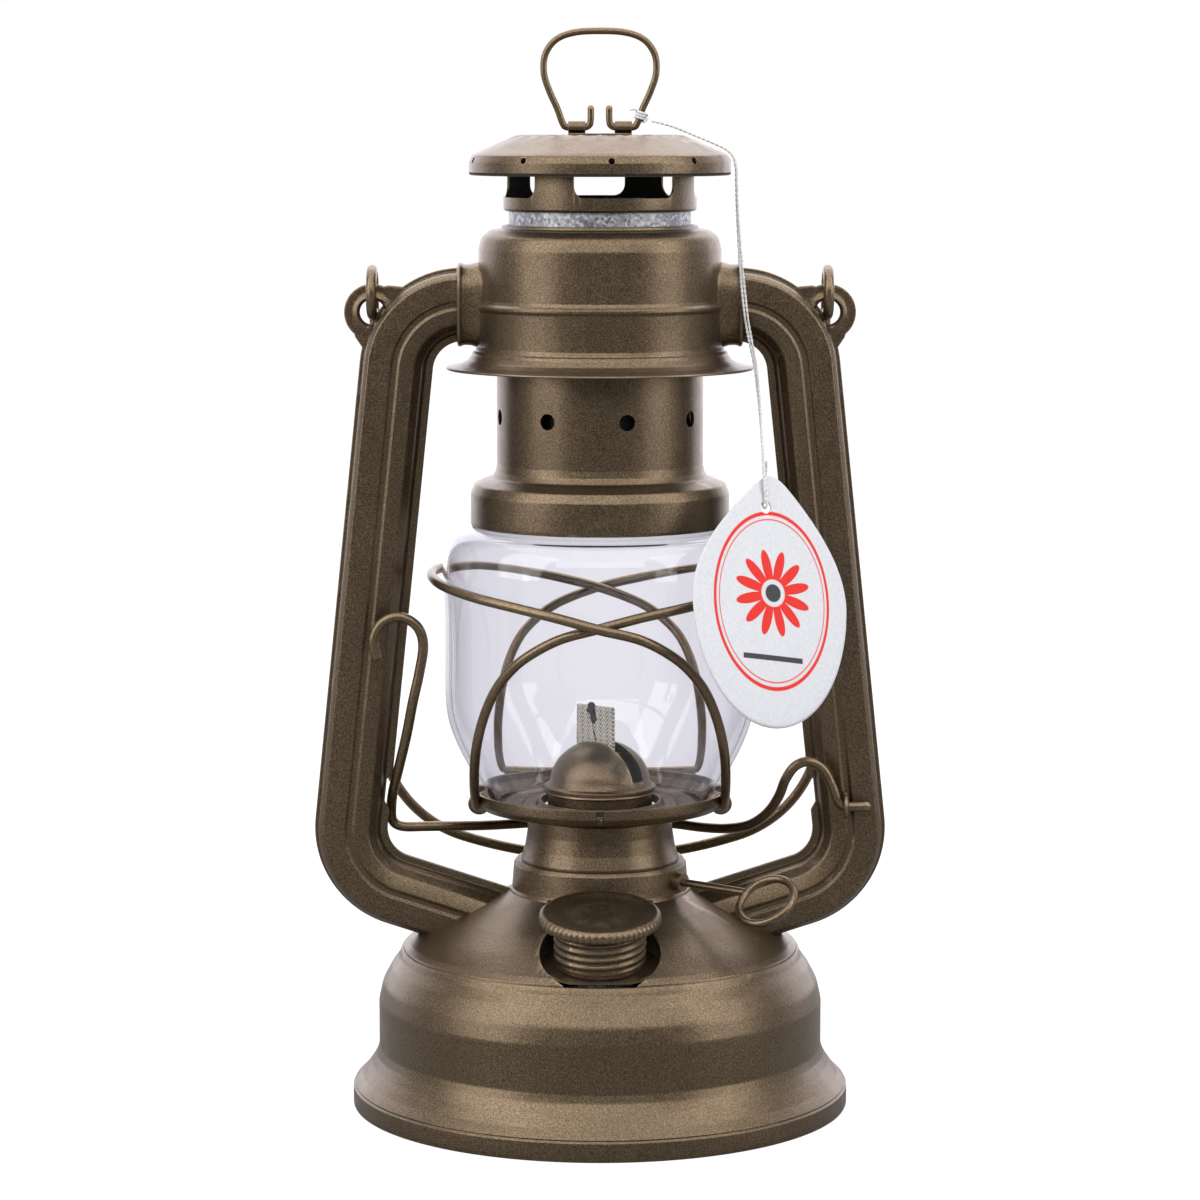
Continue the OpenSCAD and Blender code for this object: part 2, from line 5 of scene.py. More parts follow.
import bpy
import bmesh
from mathutils import Vector, Matrix
from mathutils.geometry import intersect_line_line_2d


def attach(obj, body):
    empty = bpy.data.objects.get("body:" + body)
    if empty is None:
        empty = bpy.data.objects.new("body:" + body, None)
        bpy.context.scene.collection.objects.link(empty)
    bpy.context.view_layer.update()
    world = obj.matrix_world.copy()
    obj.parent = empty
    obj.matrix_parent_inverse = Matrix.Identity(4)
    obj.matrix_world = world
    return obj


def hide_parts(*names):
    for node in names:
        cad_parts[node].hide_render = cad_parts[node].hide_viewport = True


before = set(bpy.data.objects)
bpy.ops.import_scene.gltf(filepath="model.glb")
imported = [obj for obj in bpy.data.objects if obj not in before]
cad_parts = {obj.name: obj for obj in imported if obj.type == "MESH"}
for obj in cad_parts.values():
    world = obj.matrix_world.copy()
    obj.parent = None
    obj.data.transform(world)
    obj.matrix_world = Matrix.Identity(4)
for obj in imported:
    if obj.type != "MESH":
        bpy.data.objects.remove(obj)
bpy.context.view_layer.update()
MM = 0.001
random.seed(7)


# ---------------------------------------------------------------- camera
def add_camera():
    data = bpy.data.cameras.new("camera")
    data.sensor_width = 36.0
    data.lens = 116.0
    data.clip_end = 20.0
    cam = bpy.data.objects.new("camera", data)
    cam.location = (0.0, -1.01444, 0.26093)
    cam.rotation_euler = (math.pi / 2 - 0.124, 0.0, 0.0)
    bpy.context.scene.collection.objects.link(cam)
    bpy.context.scene.camera = cam


add_camera()


# ---------------------------------------------------------------- materials
class Nodes:
    """A short hand for building a material's node tree."""

    def __init__(self, name):
        self.mat = bpy.data.materials.new(name)
        self.mat.use_nodes = True
        self.tree = self.mat.node_tree
        self.bsdf = self.tree.nodes["Principled BSDF"]
        self.out = self.tree.nodes["Material Output"]

    def add(self, kind, **values):
        node = self.tree.nodes.new(kind)
        for key, value in values.items():
            setattr(node, key, value)
        return node

    def link(self, a, b):
        self.tree.links.new(a, b)

    def coords(self):
        return self.add("ShaderNodeTexCoord").outputs["Object"]

    def noise(self, scale, detail=2.0, rough=0.5, vector=None):
        node = self.add("ShaderNodeTexNoise")
        node.inputs["Scale"].default_value = scale
        node.inputs["Detail"].default_value = detail
        node.inputs["Roughness"].default_value = rough
        self.link(vector or self.coords(), node.inputs["Vector"])
        return node.outputs["Fac"]

    def ramp(self, fac, stops):
        node = self.add("ShaderNodeValToRGB")
        els = node.color_ramp.elements
        while len(els) < len(stops):
            els.new(0.5)
        for el, (at, colour) in zip(els, stops):
            el.position = at
            el.color = (*colour, 1.0) if len(colour) == 3 else colour
        self.link(fac, node.inputs["Fac"])
        return node.outputs["Color"]

    def to_range(self, fac, low, high, from_low=0.0, from_high=1.0):
        node = self.add("ShaderNodeMapRange")
        node.inputs["From Min"].default_value = from_low
        node.inputs["From Max"].default_value = from_high
        node.inputs["To Min"].default_value = low
        node.inputs["To Max"].default_value = high
        self.link(fac, node.inputs["Value"])
        return node.outputs["Result"]

    def math(self, op, a, b=None):
        node = self.add("ShaderNodeMath", operation=op)
        for socket, value in zip(node.inputs, (a, b)):
            if value is None:
                continue
            if isinstance(value, (int, float)):
                socket.default_value = value
            else:
                self.link(value, socket)
        return node.outputs[0]

    def plus(self, a, b):
        return self.math("ADD", a, b)

    def minus(self, a, b):
        return self.math("SUBTRACT", a, b)

    def times(self, a, b):
        return self.math("MULTIPLY", a, b)

    def length(self, a, b):
        """The length of the vector [a, b]."""
        squares = [self.math("POWER", self.math("ABSOLUTE", c), 2.0) for c in (a, b)]
        return self.math("SQRT", self.plus(*squares))

    def axes(self, vector=None):
        """The X, Y and Z of a vector, or of the place on the object."""
        node = self.add("ShaderNodeSeparateXYZ")
        self.link(vector or self.coords(), node.inputs[0])
        return node.outputs

    def mix(self, fac, a, b):
        node = self.add("ShaderNodeMix", data_type="RGBA")
        for socket, value in ((node.inputs[0], fac), (node.inputs[6], a), (node.inputs[7], b)):
            if isinstance(value, (int, float)):
                socket.default_value = value
            elif isinstance(value, tuple):
                socket.default_value = (*value, 1.0)
            else:
                self.link(value, socket)
        return node.outputs[2]

    def bump(self, height, strength, distance, normal=None):
        node = self.add("ShaderNodeBump")
        node.inputs["Strength"].default_value = strength
        node.inputs["Distance"].default_value = distance
        self.link(height, node.inputs["Height"])
        if normal is not None:
            self.link(normal, node.inputs["Normal"])
        return node.outputs["Normal"]

    def set(self, **values):
        for key, value in values.items():
            socket = self.bsdf.inputs[key.replace("_", " ")]
            if isinstance(value, (int, float)):
                socket.default_value = value
            elif isinstance(value, tuple):
                socket.default_value = (*value, 1.0) if len(value) == 3 else value
            else:
                self.link(value, socket)


def lacquer_material(name, dark, mid, light, rough_low=0.3, rough_high=0.46):
    """Satin metallic lacquer: a fine flake, soft clouding and a faint orange peel, with a painted highlight
    on sharp edges and painted shade in creases.
    """
    n = Nodes(name)
    flake = n.noise(2600.0, 2.0, 0.7)
    cloud = n.noise(38.0, 4.0, 0.6)
    grime = n.noise(210.0, 3.0, 0.6)
    base = n.ramp(flake, [(0.32, dark), (0.5, mid), (0.7, light)])
    base = n.mix(n.to_range(cloud, 0.0, 0.35, 0.35, 0.75), base, dark)
    edge = n.add("ShaderNodeNewGeometry").outputs["Pointiness"]
    # painted highlight: lighter colour on sharp outer edges
    painted_edge_highlight = n.to_range(edge, 0.0, 0.55, 0.52, 0.62)
    base = n.mix(painted_edge_highlight, base, tuple(min(1.0, 1.55 * c) for c in light))
    # painted shade: darker colour in creases and hollows
    painted_crease_shade = n.to_range(edge, 0.55, 0.0, 0.40, 0.49)
    base = n.mix(painted_crease_shade, base, tuple(0.35 * c for c in dark))
    n.set(Base_Color=base, Metallic=0.92,
          Roughness=n.to_range(n.plus(n.times(grime, 0.5), n.times(flake, 0.5)),
                               rough_low, rough_high, 0.3, 0.7),
          Coat_Weight=0.1, Coat_Roughness=0.22)
    peel = n.bump(n.noise(900.0, 2.0, 0.5), 0.16, 0.0002)
    n.set(Normal=n.bump(flake, 0.12, 0.0001, peel))
    return n.mat


def painted_shade_material():
    """Painted shade: the dull dark colour given to the inner faces of the hot parts and to holes, which lie
    in shade.
    """
    n = Nodes("bronze_painted_shade")
    grain = n.noise(1200.0, 3.0)
    n.set(Base_Color=n.ramp(grain, [(0.3, (0.01, 0.009, 0.008)), (0.7, (0.03, 0.025, 0.02))]),
          Roughness=0.85, Specular_IOR_Level=0.2, Normal=n.bump(grain, 0.3, 0.0002))
    return n.mat


def galvanised_material():
    n = Nodes("galvanised_sheet")
    spangle = n.add("ShaderNodeTexVoronoi")
    spangle.inputs["Scale"].default_value = 1300.0
    n.link(n.coords(), spangle.inputs["Vector"])
    speck = n.noise(1500.0, 3.0, 0.7)
    tone = n.mix(0.5, spangle.outputs["Color"], speck)
    value = n.add("ShaderNodeRGBToBW")
    n.link(tone, value.inputs[0])
    base = n.ramp(value.outputs[0], [(0.25, (0.13, 0.13, 0.15)), (0.5, (0.3, 0.3, 0.32)),
                                     (0.72, (0.55, 0.55, 0.58))])
    # painted shade: the part of the chimney's tube that stands inside the sleeve, and shows through the
    # sleeve's holes, is darkened
    height = n.axes()[2]
    painted_sleeve_shade = n.times(n.to_range(height, 1.0, 0.0, 0.1985, 0.2005), n.to_range(height, 0.0, 1.0, 0.150, 0.152))
    base = n.mix(painted_sleeve_shade, base, (0.012, 0.011, 0.01))
    n.set(Base_Color=base, Metallic=0.7, Roughness=n.to_range(speck, 0.35, 0.65, 0.3, 0.7),
          Normal=n.bump(speck, 0.3, 0.0002))
    return n.mat


def brass_material():
    n = Nodes("burner_brass")
    tarnish = n.noise(160.0, 4.0, 0.6)
    n.set(Base_Color=n.ramp(tarnish, [(0.3, (0.16, 0.1, 0.05)), (0.6, (0.5, 0.36, 0.17))]),
          Metallic=0.95, Roughness=n.to_range(tarnish, 0.28, 0.5),
          Normal=n.bump(n.noise(1200.0), 0.1, 0.0001))
    return n.mat


def glass_material():
    """Clear blown glass with faint waves; the tint only shows edge-on."""
    n = Nodes("clear_glass")
    wave = n.noise(26.0, 2.0, 0.5)
    rim = n.add("ShaderNodeLayerWeight")
    rim.inputs["Blend"].default_value = 0.3
    n.set(Base_Color=n.mix(rim.outputs["Facing"], (0.965, 0.962, 0.975), (0.62, 0.61, 0.67)),
          Roughness=0.02, IOR=1.32, Transmission_Weight=1.0,
          Normal=n.bump(wave, 0.1, 0.0006))
    # light passes through the wall, so what stands inside the globe isn't left in the dark
    path = n.add("ShaderNodeLightPath")
    clear = n.add("ShaderNodeBsdfTransparent")
    clear.inputs["Color"].default_value = (0.96, 0.96, 0.97, 1.0)
    choose = n.add("ShaderNodeMixShader")
    n.link(n.math("MAXIMUM", path.outputs["Is Shadow Ray"], path.outputs["Is Diffuse Ray"]),
           choose.inputs[0])
    n.link(n.bsdf.outputs[0], choose.inputs[1])
    n.link(clear.outputs[0], choose.inputs[2])
    n.link(choose.outputs[0], n.out.inputs["Surface"])
    return n.mat


def cotton_material():
    """Woven wick: plaited rows of yarn that run in chevrons up its face."""
    n = Nodes("wick_cotton")
    x, y, z = n.axes()

    def wave(kind, angle):
        """A wave between 0 and 1."""
        return n.plus(n.times(n.math(kind, angle), 0.5), 0.5)

    wobble = n.times(n.minus(n.noise(700.0, 2.0), 0.5), 0.9)
    # millimetres across the wick's face, which is turned by 40 degrees
    across = n.minus(n.times(x, 766.0), n.times(y, 643.0))
    zigzag = n.times(n.math("PINGPONG", across, 1.05), 1.5)
    rows = n.plus(n.times(z, 1000.0), n.plus(zigzag, wobble))
    yarn = wave("SINE", n.times(rows, 5.6))
    column = wave("COSINE", n.times(across, 2.99))
    fray = n.noise(2600.0, 3.0, 0.75)
    fine = n.plus(n.times(yarn, 0.5), n.plus(n.times(column, 0.15), n.times(fray, 0.35)))
    cream = n.ramp(fine, [(0.15, (0.1, 0.085, 0.06)), (0.4, (0.42, 0.39, 0.32)),
                          (0.75, (0.74, 0.71, 0.64))])
    n.set(Base_Color=cream, Roughness=0.95, Normal=n.bump(fine, 0.8, 0.0006))
    return n.mat


def char_material():
    n = Nodes("wick_char")
    n.set(Base_Color=n.ramp(n.noise(1500.0, 3.0), [(0.35, (0.008, 0.008, 0.01)),
                                                    (0.7, (0.06, 0.055, 0.06))]),
          Roughness=0.95, Normal=n.bump(n.noise(2500.0, 3.0), 0.6, 0.0003))
    return n.mat


def twine_material():
    n = Nodes("twine")
    fibre = n.noise(2600.0, 3.0, 0.7)
    n.set(Base_Color=n.ramp(fibre, [(0.25, (0.3, 0.29, 0.29)), (0.6, (0.66, 0.65, 0.65))]),
          Roughness=0.8, Sheen_Weight=0.3, Normal=n.bump(fibre, 0.3, 0.0002))
    return n.mat


def rubber_material():
    n = Nodes("gasket_rubber")
    grain = n.noise(900.0, 2.0)
    n.set(Base_Color=n.ramp(grain, [(0.3, (0.012, 0.012, 0.012)), (0.7, (0.03, 0.03, 0.03))]),
          Roughness=0.7, Normal=n.bump(grain, 0.2, 0.0001))
    return n.mat


def steel_material():
    n = Nodes("spring_steel")
    grain = n.noise(1400.0, 2.0)
    n.set(Base_Color=n.ramp(grain, [(0.3, (0.3, 0.3, 0.31)), (0.7, (0.52, 0.53, 0.55))]),
          Metallic=1.0, Roughness=n.to_range(grain, 0.25, 0.4))
    return n.mat


def paper_material():
    """Coated paper with a generic print laid out in the tag's own plane, held in its UV map."""
    n = Nodes("tag_paper")
    uv = n.add("ShaderNodeUVMap", uv_map="plane")
    across, up, _ = n.axes(uv.outputs[0])
    # millimetres from the middle of the print
    x = n.minus(n.times(across, 100.0), 50.0)
    y = n.minus(n.times(up, 100.0), 47.0)

    def below(value, edge, soft):
        return n.to_range(value, 1.0, 0.0, edge - soft, edge + soft)

    def band(value, low, high, soft=0.006):
        return n.times(n.to_range(value, 0.0, 1.0, low - soft, low + soft), below(value, high, soft))

    # 1 on the oval line, growing outwards
    oval = n.length(n.math("DIVIDE", x, 17.6), n.math("DIVIDE", y, 23.4))
    line = n.math("MAXIMUM", band(oval, 0.955, 1.0), band(oval, 0.9, 0.915))
    # twelve petals round a dot, and a bar below them
    rise = n.plus(y, -2.0)
    far = n.length(x, rise)
    spokes = n.math("ABSOLUTE", n.math("SINE", n.times(n.math("ARCTAN2", rise, x), 6.0)))
    inside = n.minus(n.plus(4.2, n.times(spokes, 7.2)), far)
    petals = n.times(n.to_range(inside, 0.0, 1.0, -0.12, 0.12), n.to_range(far, 0.0, 1.0, 3.4, 3.7))
    dot = n.to_range(far, 1.0, 0.0, 2.2, 2.45)
    bar = n.times(band(y, -15.6, -14.2, 0.08), below(n.math("ABSOLUTE", x), 9.0, 0.1))
    red = n.math("MAXIMUM", line, petals)
    dark = n.math("MAXIMUM", dot, bar)
    fibre = n.noise(1400.0, 3.0, 0.6)
    paper = n.ramp(fibre, [(0.3, (0.5, 0.505, 0.53)), (0.7, (0.58, 0.585, 0.61))])
    colour = n.mix(red, paper, (0.6, 0.012, 0.006))
    colour = n.mix(dark, colour, (0.03, 0.03, 0.035))
    n.set(Base_Color=colour, Roughness=n.to_range(fibre, 0.42, 0.55), Specular_IOR_Level=0.25,
          Normal=n.bump(fibre, 0.05, 0.0001))
    return n.mat


BRONZE = lacquer_material("bronze_lacquer", (0.064, 0.044, 0.025), (0.124, 0.088, 0.053),
                          (0.215, 0.16, 0.105))
WIRE = lacquer_material("bronze_wire", (0.075, 0.051, 0.028), (0.14, 0.099, 0.057),
                        (0.235, 0.172, 0.108), 0.28, 0.4)
SHADE = painted_shade_material()
ZINC = galvanised_material()
BRASS = brass_material()
GLASS = glass_material()
COTTON = cotton_material()
CHAR = char_material()
TWINE = twine_material()
RUBBER = rubber_material()
STEEL = steel_material()
PAPER = paper_material()

# CAD nodes that stay in view keep their shape and get a finished material
KEPT = {"tank_bottom": BRONZE, "tank_top": ZINC, "filler_neck": ZINC, "filler_gasket": RUBBER,
        "burner_base": ZINC, "wick_tube": BRASS, "wick_wheels": BRASS, "shaft_bush": BRONZE,
        "inner_tube": ZINC, "chimney_spring": STEEL, "wick_knob": WIRE}


for node_name, node_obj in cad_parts.items():
    node_obj.data.materials.clear()
    node_obj.data.materials.append(KEPT.get(node_name, BRONZE))


# ---------------------------------------------------------------- mesh tools
def piece(name, verts, faces, material, body, *replaced):
    """A finished piece from points in millimetres, riding on a body."""
    mesh = bpy.data.meshes.new(name)
    mesh.from_pydata([tuple(c * MM for c in v) for v in verts], [], faces)
    obj = bpy.data.objects.new(name, mesh)
    bpy.context.scene.collection.objects.link(obj)
    bm = bmesh.new()
    bm.from_mesh(mesh)
    bmesh.ops.recalc_face_normals(bm, faces=bm.faces)
    bm.to_mesh(mesh)
    bm.free()
    mesh.materials.append(material)
    mesh.polygons.foreach_set("use_smooth", [True] * len(mesh.polygons))
    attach(obj, body)
    if replaced:
        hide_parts(*replaced)
    return obj


def grid(rows, count, joined=False):
    """Faces between rows of points. Each row is a ring; the last row joins the first, or both are capped."""
    faces = []
    for i in range(rows if joined else rows - 1):
        here, there = i * count, (i + 1) % rows * count
        faces += [(here + k, there + k, there + (k + 1) % count, here + (k + 1) % count)
                  for k in range(count)]
    if not joined:
        faces += [tuple(range(count)), tuple(range((rows - 1) * count, rows * count))]
    return faces


def fillet(points, steps=4):
    """Rounds the corners of an open line of [a, b, radius]."""
    out = []
    last = len(points) - 1
    for i, p in enumerate(points):
        here = Vector(p[:2])
        radius = p[2] if len(p) > 2 else 0.0
        if radius <= 0 or i in (0, last):
            out.append(here)
            continue
        a, b = Vector(points[i - 1][:2]) - here, Vector(points[i + 1][:2]) - here
        la, lb = a.length, b.length
        a.normalize()
        b.normalize()
        half = a.angle(b) / 2
        if abs(half - math.pi / 2) < 1e-3:
            out.append(here)
            continue
        cut = min(radius / math.tan(half), 0.48 * la, 0.48 * lb)
        start, end = here + a * cut, here + b * cut
        for k in range(steps + 1):
            t = k / steps
            out.append(start * (1 - t) ** 2 + here * 2 * t * (1 - t) + end * t * t)
    return out


def untangle(line):
    """Drops the small loops that an offset line makes at tight corners."""
    while True:
        out, i = [], 0
        while i < len(line) - 1:
            out.append(line[i])
            step = i + 1
            for j in range(min(i + 30, len(line) - 2), i + 1, -1):
                hit = intersect_line_line_2d(line[i], line[i + 1], line[j], line[j + 1])
                if hit:
                    out.append(hit)
                    step = j + 1
                    break
            i = step
        out.append(line[-1])
        if len(out) == len(line):
            return out
        line = out


def sheet_section(line, thick, steps=4):
    """A closed section of sheet metal: the outer line, rounded ends and the inner line."""
    outer = fillet(line, steps)
    normals = []
    for i in range(len(outer)):
        a, b = outer[max(i - 1, 0)], outer[min(i + 1, len(outer) - 1)]
        d = (b - a).normalized()
        normals.append(Vector((d.y, -d.x)))
    inner = [p - n * thick for p, n in zip(outer, normals)]

    def rounded(end, way):
        mid, n = (outer[end] + inner[end]) / 2, normals[end]
        along = Vector((-n.y, n.x))
        return [mid + (n * math.cos(a) + along * math.sin(a)) * way * thick / 2
                for a in (math.pi / 4, math.pi / 2, math.pi * 3 / 4)]
    section = outer + rounded(-1, 1) + untangle(inner)[::-1] + rounded(0, -1)
    return [(p.x, p.y) for p in section]


def turned(section, steps=48, at=None, shape=None):
    """(verts, faces) of a closed section [radius, height] turned about an axis.
    shape(angle, r, z) may move a point."""
    verts = []
    for i in range(steps):
        a = 2 * math.pi * i / steps
        for r, z in section:
            r = max(r, 0.0)
            if shape:
                r, z = shape(a, r, z)
            v = Vector((r * math.cos(a), r * math.sin(a), z))
            verts.append(at @ v if at else v)
    return verts, grid(steps, len(section), joined=True)


def lathe(name, section, material, body, *replaced, steps=160, frame_at=None, shape=None):
    obj = piece(name, *turned(section, steps, frame_at, shape), material, body, *replaced)
    weld(obj)
    return obj


def weld(obj, apart=2e-6):
    bm = bmesh.new()
    bm.from_mesh(obj.data)
    bmesh.ops.remove_doubles(bm, verts=bm.verts, dist=apart)
    bmesh.ops.dissolve_degenerate(bm, dist=apart / 2, edges=bm.edges)
    bmesh.ops.recalc_face_normals(bm, faces=bm.faces)
    bm.to_mesh(obj.data)
    bm.free()


def catmull(points, steps=6):
    pts = [Vector(p) for p in points]
    out = []
    for i in range(len(pts) - 1):
        a, b, c, d = pts[max(i - 1, 0)], pts[i], pts[i + 1], pts[min(i + 2, len(pts) - 1)]
        for k in range(steps):
            t = k / steps
            out.append(0.5 * (2 * b + (c - a) * t + (2 * a - 5 * b + 4 * c - d) * t * t
                              + (3 * b - a - 3 * c + d) * t ** 3))
    return out + [pts[-1]]


def frames_along(points):
    """(point, side, side, heading) down a route, carried without twisting."""
    count = len(points)
    heads = [(points[min(i + 1, count - 1)] - points[max(i - 1, 0)]).normalized()
             for i in range(count)]
    side = Vector((1, 0, 0)) if abs(heads[0].z) > 0.9 else Vector((0, 0, 1))
    out = []
    for p, t in zip(points, heads):
        side = (side - t * side.dot(t)).normalized()
        out.append((p, side, t.cross(side), t))
    return out


def sweep_mesh(points, radius, sides=16, round_ends=True):
    """Points and faces of a wire; radius may be a number or a function of the share along."""
    stations = frames_along([Vector(p) for p in points])
    last = len(stations) - 1

    def r_at(i):
        return radius(i / last) if callable(radius) else radius

    def rounded(station, radius_at, way):
        p, u, v, t = station
        return [(p + way * t * radius_at * math.sin(math.radians(a)), u, v,
                 radius_at * math.cos(math.radians(a))) for a in (25, 50, 75)]

    rings = [(p, u, v, r_at(i)) for i, (p, u, v, t) in enumerate(stations)]
    if round_ends:
        rings = (rounded(stations[0], r_at(0), -1)[::-1] + rings
                 + rounded(stations[-1], r_at(last), 1))
    verts = []
    for p, u, v, r in rings:
        for k in range(sides):
            a = 2 * math.pi * k / sides
            verts.append(p + (u * math.cos(a) + v * math.sin(a)) * r)
    return verts, grid(len(rings), sides)


def wire(name, route, radius, body, *replaced, steps=6):
    """A bent wire of the lacquered steel."""
    return piece(name, *sweep_mesh(catmull(route, steps), radius), WIRE, body, *replaced)


def gather(*meshes):
    """Joins several (verts, faces) into one."""
    verts, faces = [], []
    for v, f in meshes:
        base = len(verts)
        verts += list(v)
        faces += [tuple(base + k for k in face) for face in f]
    return verts, faces


def block(xs, ys, zs):
    """(verts, faces) of a square block between two values on each axis."""
    corners = ((ys[0], zs[0]), (ys[0], zs[1]), (ys[1], zs[1]), (ys[1], zs[0]))
    return [Vector((x, y, z)) for x in xs for y, z in corners], grid(2, 4)


def sharp(obj, angle):
    """Keeps creases crisper than the angle, in the mesh's own data."""
    bm = bmesh.new()
    bm.from_mesh(obj.data)
    for e in bm.edges:
        e.smooth = len(e.link_faces) == 2 and e.calc_face_angle(0.0) < math.radians(angle)
    for f in bm.faces:
        f.smooth = True
    bm.to_mesh(obj.data)
    bm.free()


def shade_inside(obj, inside):
    """Gives the faces for which inside(centre, normal) holds, in millimetres, the painted shade."""
    obj.data.materials.append(SHADE)
    for poly in obj.data.polygons:
        if inside(poly.center / MM, poly.normal):
            poly.material_index = 1


def faces_axis(centre, normal):
    """True where a face looks at the lantern's axis."""
    return centre.x * normal.x + centre.y * normal.y < -0.3 * math.hypot(centre.x, centre.y)


def cutter(verts, faces):
    mesh = bpy.data.meshes.new("cutter")
    mesh.from_pydata([tuple(c * MM for c in v) for v in verts], [], faces)
    obj = bpy.data.objects.new("cutter", mesh)
    bpy.context.scene.collection.objects.link(obj)
    weld(obj)
    return obj


def cut(obj, verts, faces):
    """Cuts a closed shape out of a piece, and leaves the result in its mesh."""
    tool = cutter(verts, faces)
    mod = obj.modifiers.new("cut", "BOOLEAN")
    mod.operation = "DIFFERENCE"
    mod.solver = "EXACT"
    mod.object = tool
    bpy.context.view_layer.update()
    depsgraph = bpy.context.evaluated_depsgraph_get()
    mesh = bpy.data.meshes.new_from_object(obj.evaluated_get(depsgraph))
    obj.modifiers.clear()
    old = obj.data
    obj.data = mesh
    bpy.data.meshes.remove(old)
    bpy.data.objects.remove(tool)
    sharp(obj, 32)


def rod(a, b, r, sides=24):
    """(verts, faces) of a closed round bar between two points."""
    return sweep_mesh([Vector(a), Vector(b)], r, sides, round_ends=False)


def soften(obj, width, segments=2, angle=35):
    mod = obj.modifiers.new("edges", "BEVEL")
    mod.width = width * MM
    mod.segments = segments
    mod.limit_method = "ANGLE"
    mod.angle_limit = math.radians(angle)
    mod.harden_normals = False


def polar(r, az, z):
    """A point at a turn from the front, in degrees towards +X."""
    a = math.radians(az)
    return Vector((r * math.sin(a), -r * math.cos(a), z))


# ---------------------------------------------------------------- tag and its string
NECK = Matrix.Translation((0, -39.5, 45)) @ Matrix.Rotation(math.radians(10), 4, "X")
STRING = [(14, -2.4, 260.2), (18, -3.8, 259.2), (22, -5.2, 257.7), (26, -6.6, 256), (29.5, -7.9, 254.5),
          (32.6, -9, 253), (34.4, -9.6, 251.2), (35.1, -9.9, 248.6), (35.3, -10, 244), (35.5, -10, 238),
          (36, -10, 230), (36.8, -10, 220), (38.2, -10, 208), (40.2, -10.4, 198), (41, -12, 191.5),
          (41.5, -14.9, 185), (41.8, -18.2, 179.5), (42, -21.6, 174.6), (42.2, -23.8, 170.3),
          (42.5, -25.2, 165.9), (42.7, -25.8, 162.8)]
TAG_AT = (Matrix.Translation((43.9, -21.6, 169.4)) @ Matrix.Rotation(math.radians(32), 4, "Z")
          @ Matrix.Rotation(math.radians(90 - 16), 4, "X") @ Matrix.Rotation(math.radians(-9.8), 4, "Z"))
TAG_W, TAG_H, TAG_T = 46.8, 66.0, 0.45


def make_tag():
    """A pointed oval of paper with a punched hole and a slight curl."""
    hole = Vector((-1.9, -8.7))
    low = TAG_H / 2
    dense = []
    for k in range(121):
        a = math.pi + math.pi * k / 120
        dense.append(Vector((TAG_W / 2 * math.cos(a), -low + low * math.sin(a))))
    for k in range(1, 61):
        h = k / 60
        half = TAG_W / 2 * (1 - h ** 1.9) + 2.6 * h ** 6 * math.sqrt(1 - h ** 12)
        dense.append(Vector((half, -low + low * h)))
    right = dense[60:]
    left = [Vector((-p.x, p.y)) for p in reversed(right)]
    ring_line = right + left[1:-1]
    # outline radius seen from the hole, by turn
    polar_line = sorted((math.atan2(p.y - hole.y, p.x - hole.x), (p - hole).length) for p in ring_line)

    def reach(a):
        n = len(polar_line)
        for i in range(n):
            a0, r0 = polar_line[i]
            a1, r1 = polar_line[(i + 1) % n]
            if i == n - 1:
                a1 += 2 * math.pi
            if a0 <= a <= a1:
                t = (a - a0) / (a1 - a0) if a1 > a0 else 0
                return 1 / ((1 - t) / r0 + t / r1)
        return polar_line[0][1]

    levels = [0.0, 0.02, 0.05, 0.1, 0.18, 0.28, 0.4, 0.52, 0.64, 0.76, 0.86, 0.94, 0.985, 1.0]
    turns = 160
    verts, uvs = [], []

    def curl(p):
        return 1.1 * ((p.x / 23.4) ** 2) + 0.5 * abs((p.y + 33) / 33) ** 3

    for side, order in ((1, levels), (0, levels[::-1])):
        for lv in order:
            for i in range(turns):
                a = -math.pi + 2 * math.pi * (i + 0.5) / turns
                r = 1.55 + (reach(a) - 1.55) * lv
                p = hole + Vector((math.cos(a), math.sin(a))) * r
                pull = 0.08 if lv in (0.0, 1.0) else 0.0
                z = TAG_T - pull if side else pull
                verts.append(TAG_AT @ Vector((p.x, p.y, z - curl(p) + 0.4)))
                uvs.append((0.5 + p.x / 100, 0.5 + (p.y + low - 3.0) / 100))
    obj = piece("hang_tag_paper", verts, grid(2 * len(levels), turns, joined=True), PAPER, "chimney",
                "hang_tag")
    layer = obj.data.uv_layers.new(name="plane")
    for corner in obj.data.loops:
        layer.data[corner.index].uv = uvs[corner.vertex_index]
    # the back carries no print: its map is moved off the pattern
    for poly in obj.data.polygons:
        if all(v >= len(levels) * turns for v in poly.vertices):
            for li in poly.loop_indices:
                layer.data[li].uv = (0.02, 0.02)
    return obj


def strand(route, offset, turns, radius, phase, ply_gap):
    """One two-ply strand beside the route: points of its ply, twisting as it goes."""
    stations = frames_along(catmull(route, 10))
    out = []
    run = 0.0
    for i, (p, u, v, t) in enumerate(stations):
        if i:
            run += (p - stations[i - 1][0]).length
        a = run * turns + phase
        out.append(p + offset(run, u, v) + (u * math.cos(a) + v * math.sin(a)) * ply_gap)
    return sweep_mesh(out, radius, 8)


def make_string():
    """Two twisted strands from the knot on the lifting ring, down to the tag's hole."""
    meshes = []
    for side in (-1, 1):
        def offset(run, u, v, side=side):
            spread = 0.4 * (0.55 + 0.45 * math.cos(run * 0.09 + 0.6))
            return Vector((side * spread, 0.12 * side * math.sin(run * 0.13), 0))
        for ply in (0, math.pi):
            meshes.append(strand(STRING, offset, 2.4, 0.22, ply, 0.19))
    verts, faces = gather(*meshes)
    return piece("tag_string_twine", verts, faces, TWINE, "chimney", "tag_string")


